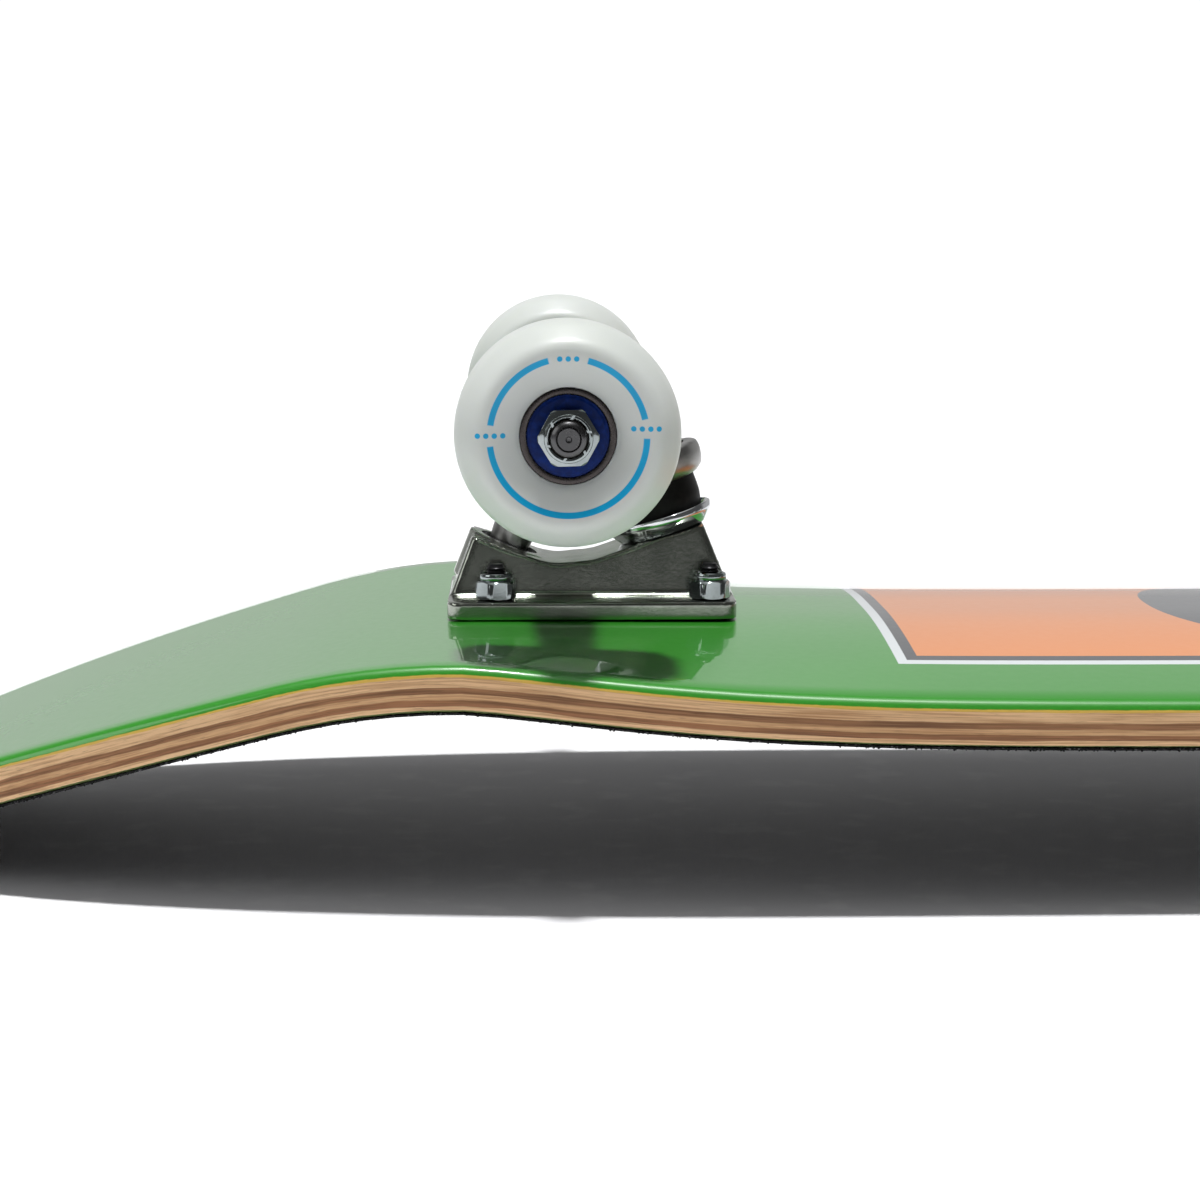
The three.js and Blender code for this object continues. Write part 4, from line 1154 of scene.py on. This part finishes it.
@dataclass
class Truck:
    """Baseplate, kingpin stack and hanger of one truck."""

    flange: tuple[float, float, float, float] = (-39.3, 33.6, 56.2, 4.75)
    body_width: float = 29.0
    body_draft: float = 0.1
    seat_height: float = 20.2
    seat_radius: float = 12.5
    seat_wall: float = 8.0
    kingpin_foot: float = 21.9
    kingpin_tilt: float = math.radians(16.5)
    kingpin_radius: float = 4.76
    kingpin_flats: float = 14.3
    kingpin_head: float = 5.5
    kingpin_tail: float = 2.2
    kingpin_nut_height: float = 9.0
    washer: float = 1.4
    bushing_heights: Point = (12.8, 10.5)
    bushing_radii: Point = (12.1, 11.3)
    ring_radius: float = 15.4
    ring_thickness: float = 7.6
    ring_recess: float = 1.6
    ring_hole: float = 6.3
    pivot: Point = (-25.4, 12.5)
    pivot_radius: float = 5.1
    cup_radius: float = 7.55
    cup_rim: float = 4.6
    axle: Point = (-9.87, 51.76)
    axle_radius: float = 3.97
    axle_half: float = 101.6
    hanger_half: float = 66.5
    barrel: Point = (9.0, 7.0)
    arm_width: float = 22.0
    gap: float = 0.1
    nut_room: float = 0.9
    nut_swing: float = 5.0
    grains: Point = (0.5, 0.6)

    def __post_init__(self) -> None:
        """Works out the heights of the kingpin stack."""
        self.washer_bottom = self.seat_height + self.gap
        self.bushing_bottom = self.washer_bottom + self.washer + self.gap
        self.ring_bottom = self.bushing_bottom + self.bushing_heights[0] + self.gap - self.ring_recess
        self.ring_top = self.ring_bottom + self.ring_thickness
        self.cone_bottom = self.ring_top - self.ring_recess + self.gap
        self.top_washer_bottom = self.cone_bottom + self.bushing_heights[1] + self.gap
        self.nut_bottom = self.top_washer_bottom + self.washer + self.gap
        self.on_kingpin = (at(self.kingpin_foot, 0, 0)
                           @ Matrix.Rotation(-self.kingpin_tilt, 4, "Y"))
        lean = math.atan2(self.axle[0] - self.pivot[0], self.axle[1] - self.pivot[1])
        self.on_pivot = at(self.pivot[0], 0, self.pivot[1]) @ Matrix.Rotation(lean, 4, "Y")
        self.on_axle = at(self.axle[0], 0, self.axle[1]) @ Matrix.Rotation(-math.pi / 2, 4, "X")

    def along(self, height: float, side: float) -> Point:
        """A point in X and Z, given along the kingpin and square to it."""
        spot = self.on_kingpin @ Vector((side, 0, height))
        return spot.x, spot.z

    # -------------------------------------------------------------- baseplate

    def base_body(self) -> Shape:
        """Wedge between the pivot pocket and the kingpin seat."""
        left, right, _, plate = self.flange
        outline = [
            (left + 0.2, plate - 1), (right - 0.1, plate - 1), self.along(self.seat_height + 0.6, 10.2),
            self.along(self.seat_height, -self.seat_radius), (-2.0, 13.6), (-11.5, 12.7), (-15.5, 13.4),
            (left + 6.2, 19.7),
        ]
        corners = eased(outline[2:], 1.6, steps=3)
        wedge = Shape.slice(outline[:2] + corners, self.body_width)
        wedge.beveled(1.3, self.is_end_edge, 3)
        half = self.body_width / 2
        return wedge.moved(lambda p: Vector((p.x, p.y * (1 - self.body_draft * (p.z - plate) / half), p.z)))

    def is_end_edge(self, edge: bmesh.types.BMEdge) -> bool:
        """Whether an edge runs up a corner of the wedge's two ends."""
        low, high = sorted((vert.co for vert in edge.verts), key=lambda place: place.z)
        steep = abs(high.x - low.x) < (high.z - low.z)
        return steep and high.z - low.z > 8 and abs(high.y - low.y) < 0.1

    def flange_plate(self) -> Shape:
        """Rounded plate that the bolts go through."""
        left, right, width, plate = self.flange
        half = width / 2
        corners = [(right, half), (left, half), (left, -half), (right, -half)]
        return Shape.prism(eased(corners, 4.5, closed=True, steps=8), 0.15, plate)

    def baseplate(self, truck: TruckPlace) -> None:
        """Adds the baseplate."""
        seat = Shape.rod(self.seat_radius - 2.6, self.seat_height - 9, self.seat_height)
        seat.placed(self.on_kingpin)
        pivot_boss = Shape.rod(self.cup_radius + 3.2, -8, 4.6).placed(self.on_pivot)
        plate = self.flange[3]
        pivot_boss.clipped(Vector((0, 0, 1.5)), Vector((0, 0, -1)))
        body = self.flange_plate().with_shells(self.base_body(), seat, pivot_boss)
        body.cast(self.grains[0], 5)
        body.clipped(Vector((0, 0, 0.3)), Vector((0, 0, -1)))
        hardware = MountingHardware()
        cutters = [
            Shape.rod(8.8, -20, self.seat_height - self.seat_wall).placed(self.on_kingpin),
            Shape.rod(self.kingpin_radius + 0.3, -20, self.seat_height + 9).placed(self.on_kingpin),
            Shape.rod(self.seat_radius + 4, self.seat_height, self.seat_height + 9).placed(self.on_kingpin),
            Shape.rod(self.cup_radius + 0.12, -6.9, 30).placed(self.on_pivot),
        ]
        for _, _, (x, y) in hardware.places():
            bore = Shape.rod(hardware.radius + 0.3, -5, plate + 3, 32)
            counter = Shape.rod(6.6, plate, plate + 3.5, 48)
            cutters += [bore.placed(at(x, y, 0)), counter.placed(at(x, y, 0))]
        body.cut(*cutters)
        piece(truck.node("cast_baseplate"), body, truck.place, CAST_BASE_WITH_GREEN_REFLECTION, "board", [truck.node("baseplate")])

    def pivot_cup(self, truck: TruckPlace) -> None:
        """Adds the cup that the hanger's stem sits in."""
        ball = self.pivot_radius + 0.1
        profile = [(0, -6.8), (self.cup_radius - 0.6, -6.8), (self.cup_radius, -6.2),
                   (self.cup_radius, self.cup_rim - 0.5), (self.cup_radius - 0.5, self.cup_rim),
                   (ball + 1.5, self.cup_rim), (ball + 1.2, self.cup_rim - 0.3)]
        shape = Shape.lathe(profile + bowl(ball)[::-1], 56)
        name = truck.node("urethane_pivot_cup")
        piece(name, shape, truck.place @ self.on_pivot, BUSHING, "board", [truck.node("pivot_cup")])

    # -------------------------------------------------------------- kingpin stack

    def kingpin(self, truck: TruckPlace) -> None:
        """Adds the kingpin and its nut."""
        nut = HexNut(self.kingpin_flats, self.kingpin_nut_height, self.kingpin_radius + 0.02, 2.4)
        top = self.nut_bottom + nut.height + self.kingpin_tail
        head_top = self.seat_height - self.seat_wall - self.gap
        radius = self.kingpin_radius
        profile = [(0, head_top - 2), (radius, head_top - 2), (radius, self.ring_top)]
        profile += thread(radius, self.ring_top + 0.5, top - 0.9) + [(radius - 1.2, top), (0, top)]
        head = Shape.hexagon(self.kingpin_flats, head_top - self.kingpin_head, head_top)
        head.beveled(0.5, lambda edge: not is_post(edge, 0.1), 2)
        place = truck.place @ self.on_kingpin
        shape = Shape.lathe(profile, 40).with_shells(head)
        piece(truck.node("kingpin_bolt"), shape, place, STEEL, "board", [truck.node("kingpin")])
        seat = place @ at(0, 0, self.nut_bottom)
        node = truck.node("kingpin_nut")
        piece(truck.node("kingpin_locknut"), nut.body(), seat, NUT_PLATING, "board", [node])
        piece(truck.node("kingpin_nut_insert"), nut.insert(), seat, NYLON, "board")

    def washers(self, truck: TruckPlace) -> None:
        """Adds the two cupped washers."""
        bore = self.kingpin_radius + 0.2
        thick = self.washer
        lower = [(bore, 0), (11.3, 0), (13.9, 3.2), (13.9, 4.8), (13.1, 5.1), (12.4, 4.5), (10.8, thick)]
        lower.append((bore, thick))
        upper = [(bore, 0), (9.3, 0), (10.2, -1.8), (11.1, -1.6), (10.4, thick), (bore, thick)]
        for part, profile, height in (("boardside_washer", lower, self.washer_bottom),
                                      ("roadside_washer", upper, self.top_washer_bottom)):
            shape = Shape.lathe(eased(profile, 0.45, closed=True, steps=3), 80, closed=True)
            seat = truck.place @ self.on_kingpin @ at(0, 0, height)
            piece(truck.node(f"cupped_{part}"), shape, seat, CHROME, "board", [truck.node(part)])

    def bushings(self, truck: TruckPlace) -> None:
        """Adds the two bushings."""
        bore = self.kingpin_radius + 0.15
        low_height, high_height = self.bushing_heights
        low, high = self.bushing_radii
        barrel = [(bore, 0), (low - 1.9, 0), (low - 0.6, 2.2), (low, low_height / 2), (low - 0.4, low_height),
                  (bore, low_height)]
        cone = [(bore, 0), (high, 0), (high, 1.8), (high - 2.4, high_height), (bore, high_height)]
        rows = (("boardside_bushing", barrel, self.bushing_bottom, (0.0, low_height)),
                ("roadside_bushing", cone, self.cone_bottom, (high_height, 0.0)))
        for part, profile, height, (fixed, leaning) in rows:
            shape = Shape.lathe(eased(profile, 0.7, closed=True, steps=4), 72, closed=True)
            posts = [edge for edge in shape.bm.edges if is_post(edge, low_height * 0.2)]
            bmesh.ops.subdivide_edges(shape.bm, edges=posts, cuts=5, use_grid_fill=True)
            seat = truck.place @ self.on_kingpin @ at(0, 0, height)
            made = piece(truck.node(f"urethane_{part}"), shape, seat, BUSHING, None, [truck.node(part)])
            start, end = seat @ Vector((0, 0, fixed)), seat @ Vector((0, 0, leaning))
            truck.hanger_body
            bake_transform(made)
            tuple(start)
            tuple(end)

    # -------------------------------------------------------------- hanger

    def wing(self) -> Shape:
        """Wing under the barrel, deepest in the middle."""
        end = self.hanger_half - 5
        half = [(0, -21.5), (10, -21), (15, -16), (24, -11), (40, -6.5), (end, -2), (end, 1)]
        outline = half + [(-y, z) for y, z in reversed(half[1:])]
        flat = Shape.prism(eased(outline, 4, closed=True, steps=3), -3.6, 3.6)
        turn = Matrix.Rotation(math.pi / 2, 4, "Z") @ Matrix.Rotation(math.pi / 2, 4, "X")
        return flat.placed(at(self.axle[0], 0, self.axle[1]) @ turn)

    def arm(self) -> Shape:
        """Arm that carries the ring."""
        inner = -self.ring_radius + 4
        x, z = self.axle
        middle = (z + self.pivot[1]) / 2
        outline = [
            self.along(self.ring_bottom + self.ring_recess, inner),
            self.along(self.ring_bottom, -self.ring_radius + 1),
            (x - 2, middle - 2), (self.pivot[0] + 6, middle - 3), (x - 7.5, z - 2), (x + 7, z - 3),
            self.along(self.ring_top + 1, -self.bushing_radii[0] - 1), self.along(self.ring_top - 1, inner),
        ]
        return Shape.slice(outline, self.arm_width)

    def ring(self) -> Shape:
        """Ring that the two bushings squeeze."""
        outer, low, high = self.ring_radius, self.ring_bottom, self.ring_top + 0.7
        profile = [(0, low), (outer - 2.8, low), (outer - 0.5, low + 2.1), (outer, low + 5.6),
                   (outer - 0.5, high), (0, high)]
        return Shape.lathe(eased(profile, 0.9, steps=3), 72).placed(self.on_kingpin)

    def stem(self) -> Shape:
        """Round-ended stem that turns in the pivot cup."""
        ball = self.pivot_radius
        reach = math.hypot(self.axle[0] - self.pivot[0], self.axle[1] - self.pivot[1])
        profile = bowl(ball) + [(ball + 0.2, self.cup_rim), (7, reach * 0.6), (7, reach), (0, reach)]
        return Shape.lathe(profile, 48).placed(self.on_pivot)

    def relief(self) -> Shape:
        """Slot that leaves the kingpin nut room to swing."""
        reach = self.kingpin_flats / math.sqrt(3) + self.nut_room
        swing = self.nut_swing
        angles = [step * math.pi / 16 for step in range(17)]
        arc = [(reach * math.cos(angle), swing + reach * math.sin(angle)) for angle in angles]
        outline = arc + [(-x, -y) for x, y in arc]
        return Shape.prism(outline, self.ring_top + 0.8, self.ring_top + 40).placed(self.on_kingpin)

    def hanger(self, truck: TruckPlace) -> None:
        """Adds the hanger."""
        middle, end = self.barrel
        half = self.hanger_half - 0.4
        side = [(middle, self.arm_width / 2), (middle - 0.4, 24), (end + 0.3, half - 14),
                (end, half - 0.8), (end - 0.6, half), (0, half)]
        profile = [(radius, -height) for radius, height in reversed(side)] + side
        barrel = Shape.lathe(profile, 64).placed(self.on_axle)
        body = barrel.with_shells(self.wing(), self.arm(), self.ring(), self.stem()).cast(self.grains[1], 6)
        low, high = self.bushing_radii
        body.cut(
            Shape.rod(low + 0.4, 0, self.ring_bottom + self.ring_recess).placed(self.on_kingpin),
            Shape.rod(self.ring_hole, self.ring_bottom - 1, self.ring_top + 1).placed(self.on_kingpin),
            Shape.rod(high + 0.4, self.ring_top - self.ring_recess,
                      self.ring_top + 4).placed(self.on_kingpin),
            self.relief(),
            Shape.rod(self.axle_radius + 0.1, -90, 90).placed(self.on_axle),
        )
        name = truck.node("cast_hanger")
        piece(name, body, truck.place, CAST_HANGER, truck.hanger_body, [truck.node("hanger")])

    def axle_rod(self, truck: TruckPlace) -> None:
        """Adds the axle with its threaded ends."""
        end = self.axle_half
        radius = self.axle_radius
        half = [(radius, end - 11.5)] + thread(radius, end - 11.3, end - 0.9)
        half += [(radius - 0.15, end - 0.6), (radius - 0.75, end - 0.05), (2.9, end), (2.72, end - 0.3)]
        half += [(2.5, end - 0.02), (0.75, end), (0.5, end - 0.45), (0, end - 0.5)]
        mirrored = [(r, -z) for r, z in reversed(half)]
        shape = Shape.lathe(mirrored + half, 40)
        piece(truck.node("axle_rod"), shape, truck.place @ self.on_axle, AXLE_STEEL, truck.hanger_body,
              [truck.node("axle")])

    def build(self, truck: TruckPlace) -> None:
        """Adds the whole truck but for its wheels."""
        for step in (self.baseplate, self.pivot_cup, self.kingpin, self.washers, self.bushings, self.hanger,
                     self.axle_rod):
            step(truck)


# ------------------------------------------------------------------ wheels


@dataclass
class Wheel:
    """A wheel with its two bearings, speed washers and nut, along its own outward axis."""

    radius: float = 26.0
    half_width: float = 15.5
    tread_half: float = 8.15
    hub_half: float = 12.0
    bearing: tuple[float, float, float] = (4.0, 11.0, 7.0)
    core: float = 9.6
    washer: tuple[float, float, float] = (4.07, 5.9, 1.0)
    nut: HexNut = field(default_factory=lambda: HexNut(12.6, 6.8, 4.02, 1.9, 6))

    def tyre(self) -> Shape:
        """The urethane, with soft lips and a seat for each bearing."""
        seat = self.bearing[1] + 0.12
        shoulder = self.hub_half - self.bearing[2] - 0.1
        corner = [(self.radius, 0), (self.radius, self.tread_half), (21.2, self.half_width - 0.1),
                  (17.5, self.half_width), (12.5, self.hub_half + 1.45), (seat, self.hub_half + 0.2)]
        outer = eased(corner, 2.6, steps=7)
        half = outer[1:] + [(seat, shoulder), (self.core, shoulder)]
        mirrored = [(r, -z) for r, z in reversed(half)]
        return Shape.lathe(mirrored + [outer[0]] + half, 128, closed=True)

    def outer_race(self) -> Shape:
        """The bearing's outer ring."""
        _, radius, width = self.bearing
        half = width / 2
        profile = [(9.5, -half), (radius, -half), (radius, half), (9.5, half), (9.5, half - 0.7),
                   (8.9, half - 1.4), (8.9, -half + 1.4), (9.5, -half + 0.7)]
        return Shape.lathe(eased(profile, 0.28, closed=True, steps=2), 96, closed=True)

    def inner_race(self) -> Shape:
        """The bearing's inner ring, which stays with the axle."""
        bore, _, width = self.bearing
        half = width / 2
        profile = [(bore, -half), (5.6, -half), (5.6, -half + 1.2), (6.1, -1), (6.1, 1), (5.6, half - 1.2),
                   (5.6, half), (bore, half)]
        return Shape.lathe(eased(profile, 0.2, closed=True, steps=2), 64, closed=True)

    def shield(self) -> Shape:
        """Pressed dust shield on one side of the bearing."""
        half = self.bearing[2] / 2
        profile = [(5.85, half - 0.5), (6.3, half - 0.2), (8.6, half - 0.2), (8.95, half - 0.45),
                   (9.4, half - 0.45), (9.4, half - 0.7), (8.8, half - 0.7), (8.5, half - 0.45),
                   (6.3, half - 0.45), (5.85, half - 0.75)]
        return Shape.lathe(eased(profile, 0.12, closed=True, steps=2), 96, closed=True)

    def balls(self) -> Shape:
        """Seven balls between the races."""
        made = Shape()
        for number in range(7):
            angle = math.tau * number / 7
            spot = at(7.5 * math.cos(angle), 7.5 * math.sin(angle), 0)
            bmesh.ops.create_uvsphere(made.bm, u_segments=16, v_segments=10, radius=1.33, matrix=spot)
        return made

    def bearings(self, name: str, place: Matrix, body: str, hanger: str) -> None:
        """Adds the two bearings.

        Args:
            name: Start of the pieces' names.
            place: Wheel millimetres to row frame.
            body: The wheel's body.
            hanger: The body that holds the axle.
        """
        middle = self.hub_half - self.bearing[2] / 2
        for word, sign in (("outer", 1), ("inner", -1)):
            spot = place @ at(0, 0, sign * middle)
            spot = spot @ Matrix.Rotation(0.0 if sign > 0 else math.pi, 4, "X")
            label = f"{name}_{word}_bearing"
            piece(f"{label}_outer_race", self.outer_race(), spot, RACE, body, [label])
            piece(f"{label}_shield", self.shield(), spot, SHIELD, body)
            piece(f"{label}_balls", self.balls(), spot, CHROME, body)
            piece(f"{label}_inner_race", self.inner_race(), spot, STEEL, hanger)

    def washers(self, name: str, place: Matrix, hanger: str) -> None:
        """Adds the outer and the inner speed washer."""
        bore, radius, thick = self.washer
        for word, start in (("outer", self.hub_half + 0.1), ("inner", -self.hub_half - 0.05 - thick)):
            profile = [(bore, start), (radius, start), (radius, start + thick), (bore, start + thick)]
            shape = Shape.lathe(eased(profile, 0.2, closed=True, steps=2), 48, closed=True)
            stands_for = [f"{name}_speed_washer"] if word == "outer" else []
            piece(f"{name}_{word}_washer", shape, place, CHROME, hanger, stands_for)

    def build(self, truck: TruckPlace, side: Side) -> None:
        """Adds a wheel and what holds it."""
        name = f"{truck.end.word}_{side.word}"
        low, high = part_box(f"{name}_wheel")
        centre = (low + high) / 2
        turn = Matrix.Rotation(-side.value * math.pi / 2, 4, "X")
        place = Matrix.Translation(centre) @ turn @ Matrix.Scale(MM, 4)
        flip = Matrix.Diagonal((1, -side.value, 1, 1))

        def face_lay(point: Vector) -> Vector:
            """Across, up and outward, so that the print stands upright."""
            return (flip @ point.to_4d()).to_3d()

        body = f"{name}_wheel"
        piece(f"{name}_urethane_wheel", self.tyre(), place, WheelUrethane(), body, [body], face_lay)
        self.bearings(name, place, body, truck.hanger_body)
        self.washers(name, place, truck.hanger_body)
        seat = place @ at(0, 0, self.hub_half + self.washer[2] + 0.2)
        twist = Matrix.Rotation(math.radians(1.5 * truck.end.value), 4, "Z")
        piece(f"{name}_axle_locknut", self.nut.body(), seat @ twist, NUT_PLATING, truck.hanger_body,
              [f"{name}_axle_nut"])
        piece(f"{name}_axle_nut_insert", self.nut.insert(), seat @ twist, NYLON, truck.hanger_body)


# ------------------------------------------------------------------ studio


@dataclass
class Studio:
    """Camera, lights and floor.

    Attributes:
        lens: Focal length in millimetres on a 36 mm sensor.
        camera_from_axle: Camera's place from the front axle's middle, in millimetres.
        pitch: Downward tilt in degrees.
        yaw: Turn to the right in degrees.
        room: Brightness of the room round the set.
        ceiling: Brightness of the panel overhead.
        backdrop: Brightness of the white backdrop.
        backdrop_top: Heights between which the white backdrop fades, as the sine of the elevation.
        sun_power: Strength of the overhead light.
        sun_size: Width of the overhead light, in degrees.
        side_power: Power of the side box in watts.
        floor_half: Half the floor's side in metres.
        floor_drop: How far the floor lies under the part, in metres.
    """

    lens: float = 85.78
    camera_from_axle: tuple[float, float, float] = (-10.10, -736.47, 53.62)
    pitch: float = 8.031
    yaw: float = 1.537
    room: float = 0.09
    ceiling: float = 0.5
    backdrop: float = 0.5
    backdrop_top: Point = (0.35, 0.75)
    sun_power: float = 4.0
    sun_size: float = 5.0
    side_power: float = 4.0
    floor_half: float = 40.0
    floor_drop: float = 0.0002

    def camera(self) -> None:
        """Adds the camera."""
        low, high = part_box("front_axle")
        spot = (low + high) / 2 + Vector(self.camera_from_axle) * MM
        data = bpy.data.cameras.new("camera")
        data.lens = self.lens
        data.sensor_width = 36.0
        data.clip_start = 0.01
        made = bpy.data.objects.new("camera", data)
        pitch, yaw = math.radians(self.pitch), math.radians(self.yaw)
        made.matrix_world = (Matrix.Translation(spot) @ Matrix.Rotation(-yaw, 4, "Z")
                             @ Matrix.Rotation(math.pi / 2 - pitch, 4, "X"))
        bpy.context.scene.collection.objects.link(made)
        bpy.context.scene.camera = made

    def floor(self) -> None:
        """Adds the pale floor."""
        shape = Shape()
        bmesh.ops.create_grid(shape.bm, x_segments=1, y_segments=1, size=self.floor_half)
        made = shape.as_object("floor")
        made.location.z = -self.floor_drop
        bench = Bench.material("floor_paper")
        place = bench.node("ShaderNodeTexCoord").outputs["Object"]
        scuffs = bench.node("ShaderNodeTexNoise", None, {"Vector": place, "Scale": 70.0, "Detail": 7.0})
        streaks = Wire(bench, scuffs.outputs[0]).ease(0.5, 0.75)
        bench.set(Base_Color=bench.mix((0.84, 0.84, 0.86), (0.97, 0.97, 0.98), streaks * 0.8), Roughness=0.6)
        made.data.materials.append(bpy.data.materials["floor_paper"])

    def area(self, name: str, spot: Vector, size: Point, power: float, aim: Vector) -> None:
        """Adds one soft box that is aimed at a point."""
        data = bpy.data.lights.new(name, "AREA")
        data.shape = "RECTANGLE"
        data.size, data.size_y = size
        data.energy = power
        made = bpy.data.objects.new(name, data)
        made.location = spot
        made.rotation_euler = (aim - spot).to_track_quat("-Z", "Y").to_euler()
        made.visible_camera = False
        bpy.context.scene.collection.objects.link(made)

    def lights(self) -> None:
        """Adds the overhead light, the side box and the white surroundings."""
        sun = bpy.data.lights.new("overhead", "SUN")
        sun.energy = self.sun_power
        sun.angle = math.radians(self.sun_size)
        made = bpy.data.objects.new("overhead", sun)
        bpy.context.scene.collection.objects.link(made)
        aim = Vector((-0.1, 0, 0.08))
        self.area("side_box", Vector((-1.6, -0.6, 0.9)), (0.9, 0.9), self.side_power, aim)
        self.surroundings()

    def surroundings(self) -> None:
        """Adds a low white backdrop behind a dim room, with a soft ceiling panel."""
        bench = Bench.world("surroundings")
        direction = bench.node("ShaderNodeTexCoord").outputs["Generated"]
        parts = bench.node("ShaderNodeSeparateXYZ", None, {0: direction})
        back, height = (Wire(bench, parts.outputs[axis]) for axis in (1, 2))
        backdrop = back.ease(0.25, 0.5) * (1 - height.ease(*self.backdrop_top))
        ceiling = height.ease(0.8, 0.95)
        light = self.room + backdrop * (self.backdrop - self.room) + ceiling * self.ceiling
        seen = Wire(bench, bench.node("ShaderNodeLightPath").outputs["Is Camera Ray"])
        bench.set(Color=(1.0, 1.0, 1.0), Strength=light * (1 - seen) + seen * 1.05)

    def build(self) -> None:
        """Adds everything in the studio."""
        bpy.context.scene.view_settings.view_transform = "Standard"
        self.camera()
        self.floor()
        self.lights()


def board_place(deck: Deck) -> Matrix:
    """Board millimetres to row frame: the origin is midway between the trucks on the painted face."""
    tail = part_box("deck")[1].x
    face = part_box("front_baseplate")[0].z - 0.05 * MM
    reach = (deck.outer_bolt + deck.tips[1]) * MM
    return at(tail - reach, 0, face) @ Matrix.Scale(MM, 4)


def main() -> None:
    """Builds the studio and every piece, and reports each one."""
    logging.basicConfig(level=logging.INFO, format="%(name)s: %(message)s")
    Studio().build()
    deck, hardware, truck, wheel = Deck(), MountingHardware(), Truck(), Wheel()
    board = board_place(deck)
    deck.build(board, hardware)
    for end in End:
        spot = at(-end.value * deck.pattern, 0, 0)
        turn = Matrix.Rotation(0.0 if end is End.FRONT else math.pi, 4, "Z")
        here = TruckPlace(end, board @ spot @ turn)
        truck.build(here)
        hardware.build(here)
        for side in Side:
            wheel.build(here, side)


if __name__ == "__main__":
    main()
